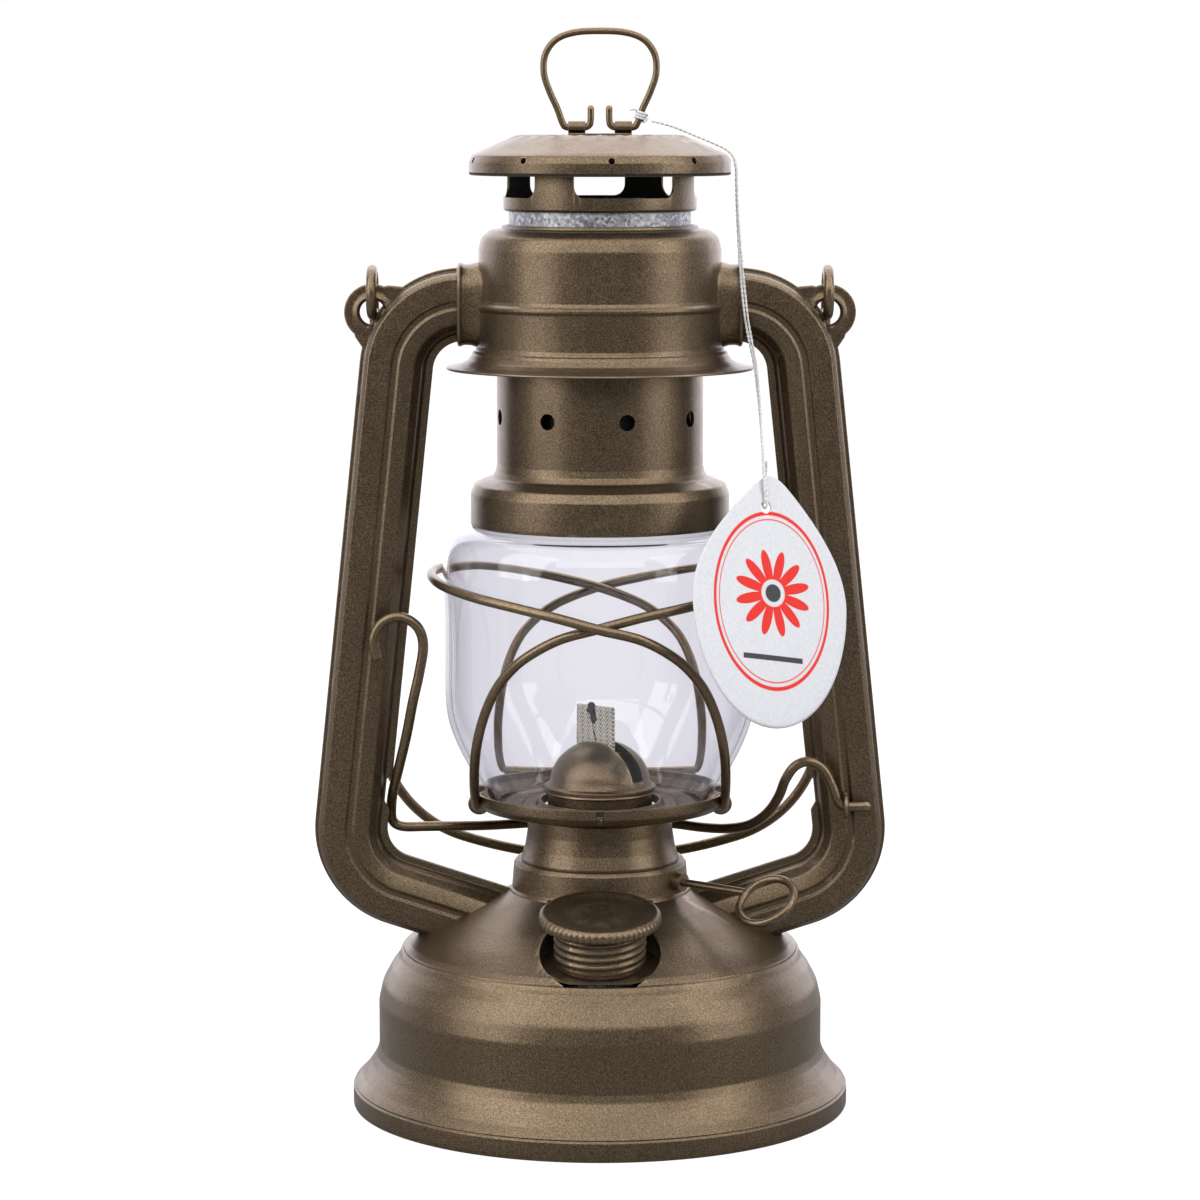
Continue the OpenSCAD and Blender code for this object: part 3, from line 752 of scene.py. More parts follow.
def make_loop():
    """The string's loop through the hole, back over the tag's tip."""
    tip = [TAG_AT @ Vector(p) for p in ((-2.0, -6.9, 1.5), (-1.9, -8.3, 1.0), (-1.9, -8.8, 0.1),
                                        (-1.9, -7.4, -0.9), (-1.6, -3.5, -1.2), (-1.0, 0.4, -0.6),
                                        (-1.6, 3.4, 0.7))]
    return piece("tag_loop_twine", *sweep_mesh(catmull(tip, 8), 0.3, 10), TWINE, "chimney")


def make_knot():
    """A few turns of twine pulled tight on the lifting ring's leg, with a short tail."""
    at = Matrix.Translation((10.6, 0.0, 261.5)) @ Matrix.Rotation(math.radians(22), 4, "Y")
    meshes = []
    coil = []
    for k in range(91):
        a = 2 * math.pi * 3.2 * k / 90
        coil.append(at @ Vector((1.3 * math.cos(a), 1.3 * math.sin(a), -1.1 + 2.2 * k / 90)))
    meshes.append(sweep_mesh(coil, 0.34, 8))
    loop = [at @ Vector(p) for p in ((1.5, -0.9, -1.0), (1.9, -0.3, 0.2), (1.5, 0.9, 0.9),
                                     (0.5, 1.5, 0.4), (-0.6, 1.5, -0.3))]
    meshes.append(sweep_mesh(catmull(loop, 6), 0.34, 8))
    tail = [at @ Vector(p) for p in ((-1.2, -0.8, 0.7), (-2.2, -1.4, 1.0), (-3.0, -1.5, 0.5))]
    meshes.append(sweep_mesh(catmull(tail, 6), 0.26, 8))
    verts, faces = gather(*meshes)
    return piece("string_knot_twine", verts, faces, TWINE, "lifting_ring", "string_knot")


tag = make_tag()
knot = make_knot()
loop = make_loop()
string = make_string()


# ---------------------------------------------------------------- tank
def make_tank():
    line = [(65.95, 0.0), (66.0, 1.0, 0.6), (66.0, 4.7, 0.25), (65.45, 5.15, 0.15), (65.6, 5.5, 0.2),
            (63.4, 7.6, 4), (61.0, 10.9, 5), (59.7, 13.3, 4), (59.0, 15.6, 2.5), (59.0, 27.8, 5),
            (57.9, 32.6, 7), (55.6, 36.9, 6), (53.6, 39.6, 3), (52.9, 41.5)]
    lathe("tank_shell_pressed", sheet_section(line, 0.7, 6), BRONZE, "lantern_frame", "tank_shell", steps=224)


def make_cone():
    """The air chamber's cover with the pocket that the filler stands in."""
    line = [(52.55, 41.55), (52.35, 42.2, 0.4), (50.9, 43.5, 2), (45.0, 46.9, 12), (38.0, 50.6, 12),
            (31.0, 53.9, 9), (25.6, 56.2, 2.2), (24.0, 57.0, 0.6), (23.45, 57.6)]
    obj = lathe("air_cone_pressed", sheet_section(line, 0.7, 5), BRONZE, "lantern_frame", "air_cone",
                steps=224)
    cut(obj, *turned([(0, -3), (15.6, -3), (15.6, 30), (0, 30)], 96, NECK))
    soften(obj, 0.5, 3, 30)
    # the pocket's wall and floor, one pressing that meets the cut's edge
    floor = [(10.45, -0.4), (10.45, 0.0), (14.0, 0.0), (15.2, 0.35), (15.75, 1.3), (15.75, 9.0),
             (16.3, 9.0), (16.3, 0.8), (15.4, -0.3), (14.2, -0.6)]
    pocket = lathe("filler_pocket", floor, BRONZE, "lantern_frame", steps=128, frame_at=NECK)
    outside = [(60.0, 30), (60.0, 80), (15.0, 80), (15.0, 60.9), (31.0, 53.55), (38.0, 50.25),
               (45.0, 46.55), (52.2, 42.0), (52.4, 30)]
    cut(pocket, *turned(outside, 96))


def make_cap():
    """Scalloped grip rim, dished top with a plain raised rosette, and a skirt with a rolled thread."""
    section = [(0.0, 12.7), (10.9, 12.7), (10.9, 0.6), (11.15, 0.4), (11.45, 0.5), (11.55, 0.9)]
    section += [(11.55 + 0.1 * (k % 2), 1.2 + 0.3 * k) for k in range(33)]
    section += [(11.7, 11.1), (12.5, 11.35), (14.9, 11.4), (15.35, 11.7), (15.7, 12.2), (15.7, 13.2),
                (15.45, 13.9), (14.9, 14.45), (14.3, 14.62), (13.6, 14.55), (12.9, 14.3), (12.0, 13.9),
                (11.0, 13.68), (9.5, 13.6), (8.6, 13.62), (7.6, 13.75), (6.6, 13.95), (5.6, 14.05),
                (4.6, 13.95), (3.7, 13.72), (2.9, 13.66), (2.1, 13.8), (1.2, 13.95), (0.0, 14.0)]

    def shape(a, r, z):
        if r > 15.0 and z > 11.3:
            r += 0.26 * (abs(math.cos(a * 30)) - 0.5) * min(1.0, (r - 14.9) / 0.5)
        if 11.5 < r < 12.3 and 1.0 < z < 11.2:
            turn = (z / 2.0 - a / (2 * math.pi)) % 1.0
            fade = min(1.0, (z - 1.0) / 1.2, (11.2 - z) / 0.8)
            r = 11.45 + 0.5 * fade * (0.5 + 0.5 * math.cos(2 * math.pi * turn)) ** 1.4
        if 2.2 < r < 9.2 and z > 13.5:
            petal = 0.5 + 0.5 * math.cos(8 * a)
            z += 0.34 * petal * math.sin(math.pi * (r - 2.2) / 7.0) ** 2
        return r, z
    lathe("filler_cap_turned", section, BRONZE, "filler_cap", "filler_cap", steps=360, frame_at=NECK,
          shape=shape)


make_tank()
make_cone()
make_cap()


# ---------------------------------------------------------------- burner
WICK = Matrix.Rotation(math.radians(-40), 4, "Z") @ Matrix.Translation((-1.5, 0, 0))
SHAFT = (Matrix.Rotation(math.radians(-40), 4, "Z") @ Matrix.Translation((0, 3.9, 61.2))
         @ Matrix.Rotation(math.radians(90), 4, "Y"))


def make_burner():
    collar = sheet_section([(24.0, 57.2), (23.45, 57.9, 0.5), (23.3, 59.6, 1), (22.95, 64.2, 0.9),
                            (22.3, 65.3, 0.5), (21.0, 65.35)], 0.6, 5)
    obj = lathe("burner_collar_ring", collar, BRONZE, "lantern_frame", "burner_collar", steps=160)
    shaft_from, shaft_to = SHAFT @ Vector((0, 0, 16)), SHAFT @ Vector((0, 0, 30))
    cut(obj, *rod(shaft_from, shaft_to, 2.3))
    for az in (-34, -12, 12, 34):
        a, b = polar(21.5, az, 57.1), polar(26.0, az, 57.1)
        cut(obj, *rod(a, b, 0.75, 12))
    cone = sheet_section([(20.9, 63.8), (20.9, 65.7, 0.8), (19.95, 69, 4), (19.3, 73, 6), (19.1, 76.6, 0.9),
                          (18.3, 78, 0.8), (14.0, 78.05)], 0.6, 5)
    lathe("burner_throat", cone, BRONZE, "lantern_frame", "burner_cone", steps=160)
    cup = [(0, 79.2), (13.1, 79.2), (13.1, 77.5), (13.9, 77.5), (13.9, 83.1), (14.1, 83.35), (14.7, 83.35),
           (14.85, 83.6), (14.75, 83.95), (13.4, 83.98), (13.15, 83.7), (13.15, 80.1), (0, 80.0)]
    obj = lathe("burner_cup_pressed", cup, BRONZE, "lantern_frame", "burner_cup", steps=96)
    slot, faces = block((-7.1, 7.1), (-1.7, 1.7), (70, 90))
    cut(obj, [WICK @ v for v in slot], faces)
    # dome with the flame's slot, rolled foot
    line = [(14.75, 84.2), (14.8, 85.1, 0.3), (13.9, 85.6, 0.5)]
    line += [(13.3 * math.cos(math.radians(a)), 85.9 + 11.0 * math.sin(math.radians(a)))
             for a in range(4, 91, 4)]
    obj = lathe("burner_dome_pressed", sheet_section(line, 0.6, 4), BRONZE, "lantern_frame", "burner_dome",
                steps=128)
    outline = slot_outline()
    cut(obj, [WICK @ Vector((x, y, z)) for z in (87.2, 110) for x, y in outline], grid(2, len(outline)))
    shade_inside(obj, lambda centre, normal: normal.dot((centre - Vector((0, 0, 84))).normalized()) < -0.2)
    soften(obj, 0.18, 2, 40)


def slot_outline():
    """The dome's slot, with round ends, longer towards the knob."""
    out = []
    for cx, start in ((13.6, -90), (-9.4, 90)):
        for k in range(9):
            a = math.radians(start + 180 * k / 8)
            out.append((cx + 2.3 * math.cos(a), 2.3 * math.sin(a)))
    return out


def make_wick():
    """A flat woven wick with its top frayed and split, and a charred core."""
    half_w, half_t, steps = 6.3, 0.9, 44
    around = []
    for k in range(steps):
        a = 2 * math.pi * k / steps
        c, s = math.cos(a), math.sin(a)
        around.append((half_w * math.copysign(abs(c) ** 0.35, c), half_t * math.copysign(abs(s) ** 0.5, s)))
    levels = [13 + (94 - 13) * k / 10 for k in range(10)] + [94 + 12.0 * k / 40 for k in range(41)]
    rng = random.Random(3)
    verts = []
    for z in levels:
        up = max(0.0, (z - 96) / 10.4)
        for x, y in around:
            weave = 0.07 * math.cos(x * 5.2 + (math.pi if int(z / 0.8) % 2 else 0)) if z > 90 else 0
            jitter = 0.05 * rng.uniform(-1, 1) if z > 90 else 0
            verts.append(WICK @ Vector((x * (1 - 0.03 * up) + jitter,
                                        y * (1 + 0.05 * up) + math.copysign(weave, y) + jitter, z)))
    meshes = [(verts, grid(len(levels), steps))]
    # yarn ends standing from the cut top
    for k in range(46):
        x = -half_w + 2 * half_w * (k + 0.5) / 46
        y = rng.uniform(-0.7, 0.7)
        lean = Vector((rng.uniform(-0.3, 0.3), rng.uniform(-0.25, 0.25), rng.uniform(0.25, 0.75)))
        a = Vector((x, y, 105.4))
        meshes.append(sweep_mesh([WICK @ a, WICK @ (a + lean * 0.5), WICK @ (a + lean)], 0.13, 6))
    piece("wick_woven", *gather(*meshes), COTTON, "wick", "wick")

    def width(s):
        return 0.75 * (1 - s) ** 0.5 + 0.25

    # the burnt split down the middle: below 102 mm it lies flat, to pass the wick's tube
    split = []
    for k in range(15):
        t = k / 14
        z = 106.2 - 9.4 * t
        flat = min(1.0, max(0.0, 102.6 - z))
        y = -0.93 + (width(t) - 0.13) * flat
        split.append(WICK @ Vector((-0.7 + 1.5 * t + 0.35 * math.sin(7 * t), y, z)))
    blobs = [turned([(0.0, -0.8), (0.7, -0.5), (0.95, 0), (0.7, 0.5), (0, 0.8)], 12,
                    WICK @ Matrix.Translation((x, -0.75, z)))
             for x, z in ((-1.4, 104.9), (-1.0, 105.6), (0.4, 102.9))]
    piece("wick_burnt_edge", *gather(sweep_mesh(split, width, 8), *blobs), CHAR, "wick")


make_burner()
make_wick()


# ---------------------------------------------------------------- tubes
TOP, LOW, BEND_R = Vector((36.0, 195.0)), Vector((48.7, 73.5)), 17.5
SLANT = math.atan((LOW.x - TOP.x) / (TOP.y - LOW.y))
CONE_LINE = [(52.6, 41.6), (52.0, 42.6), (45.0, 46.9), (38.0, 50.6), (31.0, 53.9), (23.4, 57.0)]


def tube_stations():
    """[x, z, turn of the outward side from +X towards +Z] from the canopy to the tank."""
    out = [(31.0, TOP.y + BEND_R, math.pi / 2), (33.5, TOP.y + BEND_R, math.pi / 2)]
    for k in range(25):
        a = math.pi / 2 + (SLANT - math.pi / 2) * k / 24
        out.append((TOP.x + BEND_R * math.cos(a), TOP.y + BEND_R * math.sin(a), a))
    a0, b0 = out[-1], (LOW.x + BEND_R * math.cos(SLANT), LOW.y + BEND_R * math.sin(SLANT))
    for k in range(1, 60):
        t = k / 60
        out.append((a0[0] + (b0[0] - a0[0]) * t, a0[1] + (b0[1] - a0[1]) * t, SLANT))
    low_end = math.radians(18 - 90)
    for k in range(25):
        a = SLANT + (low_end - SLANT) * k / 24
        out.append((LOW.x + BEND_R * math.cos(a), LOW.y + BEND_R * math.sin(a), a))
    x, z, a = out[-1]
    for k in range(1, 21):
        out.append((x + math.sin(low_end) * k * 1.7, z - math.cos(low_end) * k * 1.7, a))
    return out


def under_cone(x, y, z):
    """How far a point is inside the air chamber's cover, below zero when outside."""
    r = math.hypot(x, y)
    if r > 52.6:
        return -1.0
    for (r0, z0), (r1, z1) in zip(CONE_LINE, CONE_LINE[1:]):
        if r1 <= r <= r0:
            return z0 + (z1 - z0) * (r0 - r) / (r0 - r1) - z
    return 58.0 - z


TUBE_SKIN = fillet([(9.65, 0.0), (9.65, 0.82, 0.35), (8.55, 0.82, 0.35), (8.25, 6.2, 1.1), (7.1, 7.95, 0.9),
                    (1.3, 8.0, 0.5), (0.65, 7.35, 0.4), (-0.5, 7.3, 0.4), (-1.2, 7.85, 0.5), (-4.9, 6.5, 2.0),
                    (-6.8, 4.2, 1.5), (-7.75, 0.82, 0.35), (-9.65, 0.82, 0.35), (-9.65, 0.0)], 5)
TUBE_LINING = [(-7.0, 0.0), (-6.1, 3.8), (-4.5, 5.8), (-1.0, 7.0), (0.7, 6.6), (6.6, 7.2), (7.5, 6.0),
               (7.6, 0.0)]


def trim_foot(rings, first):
    """Stops each line of the section where it meets the cover, from the ring at first on."""
    for k in range(len(rings[0])):
        hit = None
        for i in range(first, len(rings)):
            if hit is None and under_cone(*rings[i][k]) > 0.25:
                a, b = rings[i - 1][k], rings[i][k]
                for _ in range(24):
                    m = (a + b) / 2
                    if under_cone(*m) > 0.25:
                        b = m
                    else:
                        a = m
                hit = b.copy()
            if hit is not None:
                rings[i][k] = hit


def make_tube(side, face, name, node):
    """One stamped half: swept along both bends, trimmed to the canopy and to the tank's cover."""
    section = [(p.x, p.y) for p in TUBE_SKIN] + TUBE_LINING
    rings = []
    for i, (x, z, a) in enumerate(tube_stations()):
        # crimps along the outer flange, where one half is folded over the other
        crimp = 0.0
        run_at = 195 - z if 20 < i < 90 else -1
        for at in (8, 34, 60, 86, 112):
            if run_at > 0 and abs(run_at - at) < 3.0:
                crimp = 0.28 * (0.5 + 0.5 * math.cos(math.pi * (run_at - at) / 3.0))
        ring = []
        for q, d in section:
            if q > 8.6 and d > 0.5:
                d = d + crimp
            if q < -8.8 and 80.0 < z < 87.6:
                # the inner flange is cut back where the lever's wire passes
                q = -8.2
            ring.append(Vector((x + q * math.cos(a), -d, z + q * math.sin(a))))
        rings.append(ring)
    trim_foot(rings, len(rings) - 21)
    verts = [Vector((side * p.x, face * p.y, p.z)) for ring in rings for p in ring]
    half = (verts, grid(len(rings), len(section)))
    obj = piece(name, *gather(half, ear_mesh(side, face)), BRONZE, "lantern_frame", node)
    weld(obj, 4e-6)
    # canopy end
    cut(obj, *turned([(0, 190), (32.6, 190), (32.6, 240), (0, 240)], 96))
    sharp(obj, 38)


def ear_mesh(side, face):
    """The ear's plate: rings from the hole to its outline, with a raised bead and a pressed web."""
    cx, cz, bore, rim = 59.6, 210.5, 3.3, 7.4
    count = 72
    turns = [2 * math.pi * k / count for k in range(count)]
    poly = [(59.6, 217.9), (48.5, 216.8), (47.0, 210.0), (50.5, 206.5), (57.0, 198.8), (61.0, 199.4),
            (66.4, 207.4)]
    reach = []
    for a in turns:
        d = Vector((math.cos(a), math.sin(a)))
        best = rim
        for (x0, z0), (x1, z1) in zip(poly, poly[1:] + poly[:1]):
            e = Vector((x1 - x0, z1 - z0))
            w = Vector((x0 - cx, z0 - cz))
            den = d.x * e.y - d.y * e.x
            if abs(den) < 1e-9:
                continue
            t = (w.x * e.y - w.y * e.x) / den
            s = (w.x * d.y - w.y * d.x) / den
            if t > 0 and -1e-6 <= s <= 1 + 1e-6:
                best = max(best, t)
        reach.append(best)
    reach = [sum(reach[(k + j) % count] for j in (-1, 0, 1)) / 3 for k in range(count)]
    reach = [rim if r < 7.9 else r for r in reach]
    levels = [0.0, 0.07, 0.16, 0.27, 0.38, 0.5, 0.65, 0.8, 0.93, 1.0]
    verts = []
    for back, order in ((False, levels), (True, levels[::-1])):
        for lv in order:
            for a, far in zip(turns, reach):
                r = bore + (far - bore) * lv
                bead = math.exp(-((r - 4.15) / 0.62) ** 2) * 0.75
                edge = 0.12 if lv in (0.0, 1.0) else 0.0
                depth = 0.04 if back else 0.86 + bead - edge
                verts.append(Vector((side * (cx + r * math.cos(a)), -face * depth, cz + r * math.sin(a))))
    return verts, grid(2 * len(levels), count, joined=True)


for tube_side, side_word in ((1, "right"), (-1, "left")):
    for tube_face, face_word in ((1, "front"), (-1, "back")):
        tube = f"tube_{side_word}_{face_word}"
        make_tube(tube_side, tube_face, f"{tube}_pressed", tube)


def make_collar(side, word):
    """The ring that dresses the joint between a tube and the canopy."""
    verts = []
    count = 64
    # [distance along X, growth of the outline]
    rows = [(31.6, 0.25), (36.6, 0.25), (37.0, 0.45), (37.25, 0.85), (37.0, 1.25), (36.5, 1.35), (36.0, 1.1),
            (35.6, 0.95), (34.4, 0.95), (33.6, 1.05), (32.9, 1.3), (32.2, 1.5), (31.6, 1.4)]
    for x, grow in rows:
        for k in range(count):
            a = 2 * math.pi * k / count
            c, s = math.cos(a), math.sin(a)
            # a squarish round, as deep as two halves and as high as their flanges
            y = (7.95 + grow) * math.copysign(abs(c) ** 0.62, c)
            z = (9.6 + grow) * math.copysign(abs(s) ** 0.62, s)
            near = min(1.0, max(0.0, (35.5 - x) / 3.0))
            sag = (31.8 - math.sqrt(31.8 ** 2 - min(abs(y), 30.0) ** 2)) * near
            verts.append(Vector((side * (x - sag), y, 212.5 + z)))
    obj = piece(f"tube_collar_{word}_rolled", verts, grid(len(rows), count, joined=True), BRONZE,
                "lantern_frame", f"tube_collar_{word}")
    cut(obj, *turned([(0, 195), (31.75, 195), (31.75, 240), (0, 240)], 128))


make_collar(1, "right")
make_collar(-1, "left")


# ---------------------------------------------------------------- canopy and chimney
def make_canopy():
    line = [(40.1, 196.3), (38.9, 196.45, 0.6), (36.6, 197.0, 2), (34.7, 198.0, 2), (33.7, 199.4, 0.6),
            (33.4, 200.2, 0.3), (32.75, 200.5, 0.3), (32.4, 201.7, 0.8), (32.4, 210.9, 0.6),
            (32.95, 211.7, 0.5), (32.9, 212.4, 0.5), (32.1, 213.1, 0.5), (31.8, 213.9, 0.5),
            (31.8, 227.0, 3), (31.0, 230.2, 3), (28.6, 232.0, 2), (25.9, 232.35, 0.4),
            (25.55, 233.2, 0.3), (25.0, 233.3)]
    obj = lathe("canopy_pressed", sheet_section(line, 0.65, 5), BRONZE, "lantern_frame", "canopy", steps=224)
    for side in (-1, 1):
        # the mouth behind each tube
        cut(obj, *block((side * 25, side * 45), (-6.8, 6.8), (205.6, 219.4)))


def make_sleeve():
    line = [(34.05, 155.0), (34.1, 155.6, 0.3), (34.0, 163.2, 1.2), (33.0, 165.6, 1.2), (30.4, 166.7, 1.5),
            (28.3, 167.4, 1.2), (27.4, 169.0, 1.4), (27.1, 171.0, 1), (27.1, 198.6, 0.8),
            (26.3, 199.0, 0.5), (23.85, 199.0)]
    obj = lathe("chimney_sleeve_pressed", sheet_section(line, 0.65, 5), BRONZE, "chimney",
                "chimney_sleeve", steps=224)
    for i in range(8):
        az = 45 * i + 15
        cut(obj, *rod(polar(22, az, 183.4), polar(32, az, 183.4), 2.1, 32))
    shade_inside(obj, faces_axis)
    soften(obj, 0.14, 2, 40)


def make_vent_ring():
    """A ring with four windows: round corners, a turned-in foot."""
    line = [(23.9, 237.05), (24.7, 236.85, 0.4), (25.3, 237.5, 0.5), (25.3, 254.2)]
    obj = lathe("vent_ring_pressed", sheet_section(line, 0.6, 5), BRONZE, "chimney", "vent_ring", steps=224)
    # one window, as [turn, height]: round corners below, open above, parted so that it follows the ring
    half, z0, z1, rc = 32.0, 240.5, 250.0, 3.0
    right = []
    for k in range(9):
        a = math.radians(90 * k / 8 - 90)
        right.append((half + math.degrees(rc / 25.0) * (math.cos(a) - 1), z0 + rc + rc * math.sin(a)))
    corners = [(-a, z) for a, z in right[::-1]] + right + [(half, z1), (-half, z1)]
    window = []
    for (a0, b0), (a1, b1) in zip(corners, corners[1:] + corners[:1]):
        parts = max(1, int(abs(a1 - a0) / 3))
        window += [(a0 + (a1 - a0) * q / parts, b0 + (b1 - b0) * q / parts) for q in range(parts)]
    for i in range(4):
        mid = 16.5 + 90 * i
        cut(obj, [polar(r, mid + a, z) for r in (20.0, 30.0) for a, z in window], grid(2, len(window)))
    shade_inside(obj, faces_axis)
    soften(obj, 0.16, 2, 40)


def make_hood():
    """A conical hood: turned rim with nine holes, and plain pressed ribs on its plateau."""
    line = [(33.1, 246.2), (34.0, 246.15, 0.3), (34.2, 247.0, 0.6), (34.2, 249.6, 1.4), (33.4, 251.4, 1.0),
            (32.2, 252.05, 1.0), (25.6, 254.9, 1.5), (23.8, 255.7, 0.8), (21.8, 256.3, 1.2),
            (0.01, 256.45)]
    outer = fillet(line, 6)
    dense = []
    for a, b in zip(outer, outer[1:]):
        parts = max(1, int((b - a).length / 0.7))
        for q in range(parts):
            dense.append(a + (b - a) * (q / parts))
    dense.append(outer[-1])
    # the inner line: thinner at the wall of the rim, lower under the slope
    inner = [(max(0.01, p.x - (0.6 if p.y < 251 else 0.25)), max(246.4, p.y - (0.0 if p.y < 250 else 0.6)))
             for p in reversed(dense)]
    section = [(p.x, p.y) for p in dense] + inner

    def shape(a, r, z):
        if z > 254.6 and 12.5 < r < 24.5:
            rib = 0.5 + 0.5 * math.cos(24 * a)
            ring_fade = math.sin(math.pi * min(1.0, max(0.0, (r - 12.5) / 12.0)))
            z += 0.42 * (rib ** 2) * ring_fade ** 0.7 - 0.1
        return r, z
    obj = lathe("hood_pressed", section, BRONZE, "chimney", "hood", steps=288, shape=shape)
    rise = math.radians(35)
    for i in range(9):
        az = 40 * i + 5
        c = polar(34.2, az, 250.35)
        tilt = polar(math.cos(rise), az, math.sin(rise))
        cut(obj, *rod(c - tilt * 2.4, c + tilt * 2.4, 0.85, 20))
    shade_inside(obj, lambda centre, normal:
                 normal.z < -0.2 and centre.z > 246.6 or faces_axis(centre, normal))


def make_lugs():
    """A strap whose ends are rolled over the ring's wire."""
    x0, x1, chamfer = 3.8, 8.3, 0.25
    roll, thick = 1.62, 0.55
    outer = [Vector((5.4, 256.75)), Vector((2.6, 256.8)), Vector((1.4, 257.0))]
    for k in range(17):
        a = math.radians(-60 + 270 * k / 16)
        outer.append(Vector((roll * math.cos(a), 258.6 + roll * math.sin(a))))
    inner = []
    for i, p in enumerate(outer):
        d = (outer[min(i + 1, len(outer) - 1)] - outer[max(i - 1, 0)]).normalized()
        inner.append(p + Vector((-d.y, d.x)) * thick)
    profile = outer + inner[::-1]
    meshes = [([Vector((side * x, *p)) for x in (x0, x0 + chamfer, x1 - chamfer, x1) for p in profile],
               grid(4, len(profile))) for side in (-1, 1)]
    meshes.append(block((-8.2, 8.2), (-2.6, 2.6), (256.3, 257.0)))
    obj = piece("ring_lugs_rolled", *gather(*meshes), BRONZE, "chimney", "ring_lugs")
    sharp(obj, 50)
    soften(obj, 0.12, 2, 50)


make_canopy()
make_sleeve()
make_vent_ring()
make_hood()
make_lugs()

HALF_RING = [(2.4, 263.4), (2.4, 260.8), (2.7, 259.3), (3.8, 258.6), (6, 258.6), (8.6, 258.6), (9.7, 259.6),
             (11.2, 263.6), (13.2, 268), (14.6, 272.6), (14.2, 277.4), (11.4, 281.2), (6.6, 283), (0, 283.4)]
ring_route = [(-x, 0, z) for x, z in HALF_RING] + [(x, 0, z) for x, z in reversed(HALF_RING[:-1])]
wire("lifting_ring_wire", ring_route, 0.9, "lifting_ring", "lifting_ring", steps=8)


# ---------------------------------------------------------------- globe and what carries it
def make_globe():
    wall = catmull([Vector((r, 0, z)) for r, z in (
        (28.9, 81.0), (30.4, 83.4), (33.0, 87.3), (35.9, 92.4), (38.7, 98.4), (40.4, 104.0), (41.0, 110.5),
        (41.0, 121.0), (41.15, 132.0), (41.6, 140.5), (41.3, 146.6), (40.1, 150.2), (37.9, 152.8),
        (34.8, 154.3))], 5)
    line = [(28.8, 80.45)] + [(p.x, p.z) for p in wall]
    line += [(32.2, 155.0, 1.0), (31.3, 157.5, 2), (31.2, 165.1)]
    lathe("globe_blown", sheet_section(line, 1.3, 4), GLASS, "globe_carrier", "globe", steps=224)


def make_plate():
    """The carrier's dish with pressed rings, a beaded rim, two ears and two tabs."""
    line = [(15.6, 79.5), (15.6, 81.4, 0.3), (16.3, 81.5, 0.3), (17.1, 80.3, 0.5), (19.0, 80.0, 0.5),
            (20.2, 80.5, 0.4), (21.2, 80.05, 0.4), (24.2, 80.0, 0.5), (25.4, 80.45, 0.4), (26.4, 80.0, 0.4),
            (29.6, 80.0, 0.5), (31.3, 80.6, 0.8), (32.4, 82.0, 0.6), (32.45, 83.7, 0.2), (32.8, 84.05, 0.2),
            (33.25, 83.8, 0.2), (33.3, 81.3, 1.0), (31.9, 79.6, 1.2), (29.8, 79.05, 0.6), (16.0, 79.2)]
    section = [(p.x, p.y) for p in fillet(line)]
    obj = lathe("globe_plate_pressed", section, BRONZE, "globe_carrier", "globe_plate", steps=192)
    cut(obj, *rod((0, -30.2, 81.9), (0, -36, 81.9), 0.95, 20))
    shade_inside(obj, lambda centre, normal:
                 abs(centre.x) < 1 and centre.y < -30 and abs(centre.z - 81.9) < 1)
    meshes = []
    for side in (-1, 1):
        # a folded grip on each of the guard's feet
        at = Matrix.Translation((32.0 * side, -3.4, 80.7)) @ Matrix.Rotation(math.radians(90), 4, "X")
        meshes.append(turned([(0.0, 0.0), (2.6, 0.0), (2.95, 0.3), (2.95, 1.3), (2.6, 1.6), (0.0, 1.6)],
                             32, at))
        # a tab that the lever's wire lies against
        meshes.append(block((9 * side - 0.5, 9 * side + 0.5), (22.4, 29.8), (73.1, 79.5)))
    ears = piece("globe_plate_ears", *gather(*meshes), BRONZE, "globe_carrier")
    sharp(ears, 40)
    soften(ears, 0.15, 2, 50)


# [turn from the front in degrees, height, radius] of one half of the guard
GUARD = [(-78, 80.6, 33.4), (-66, 86, 36), (-56, 93, 39.4), (-49, 100, 42.2), (-45, 107, 42.7),
         (-40, 114, 42.7), (-34, 119.5, 42.7), (-26, 124.5, 42.7), (-14, 129.4, 42.7), (0, 132.4, 42.7),
         (14, 135, 42.7), (30, 137, 43), (48, 138.7, 43.4), (68, 140.2, 44), (88, 141.3, 44.4),
         (105, 141.6, 44.2), (125, 141, 43.4), (140, 139.6, 43), (154, 137.5, 42.7), (166, 135.4, 42.7),
         (180, 132.6, 42.7), (194, 129, 42.7), (203, 125.5, 42.7), (211, 120.5, 42.7), (216.5, 114, 42.7),
         (219.5, 107, 43), (220.5, 99, 43.9), (220.5, 91, 44.7), (219.8, 85, 45)]


def guard_half(side, over_at):
    out = []
    for turn, z, r in GUARD:
        # this half crosses over the other one here
        r += 2.7 * max(0.0, 1 - abs(turn - over_at) / 28)
        out.append(polar(r, side * turn, z))
    return out


def make_guard():
    right = guard_half(-1, 0)
    bar = [(x, 34.8, 82.3) for x in (-27.6, -25, 0, 25, 27.6)]
    wire("globe_guard_wire", guard_half(1, 180) + bar + right[::-1], 1.3, "globe_carrier", "globe_guard")


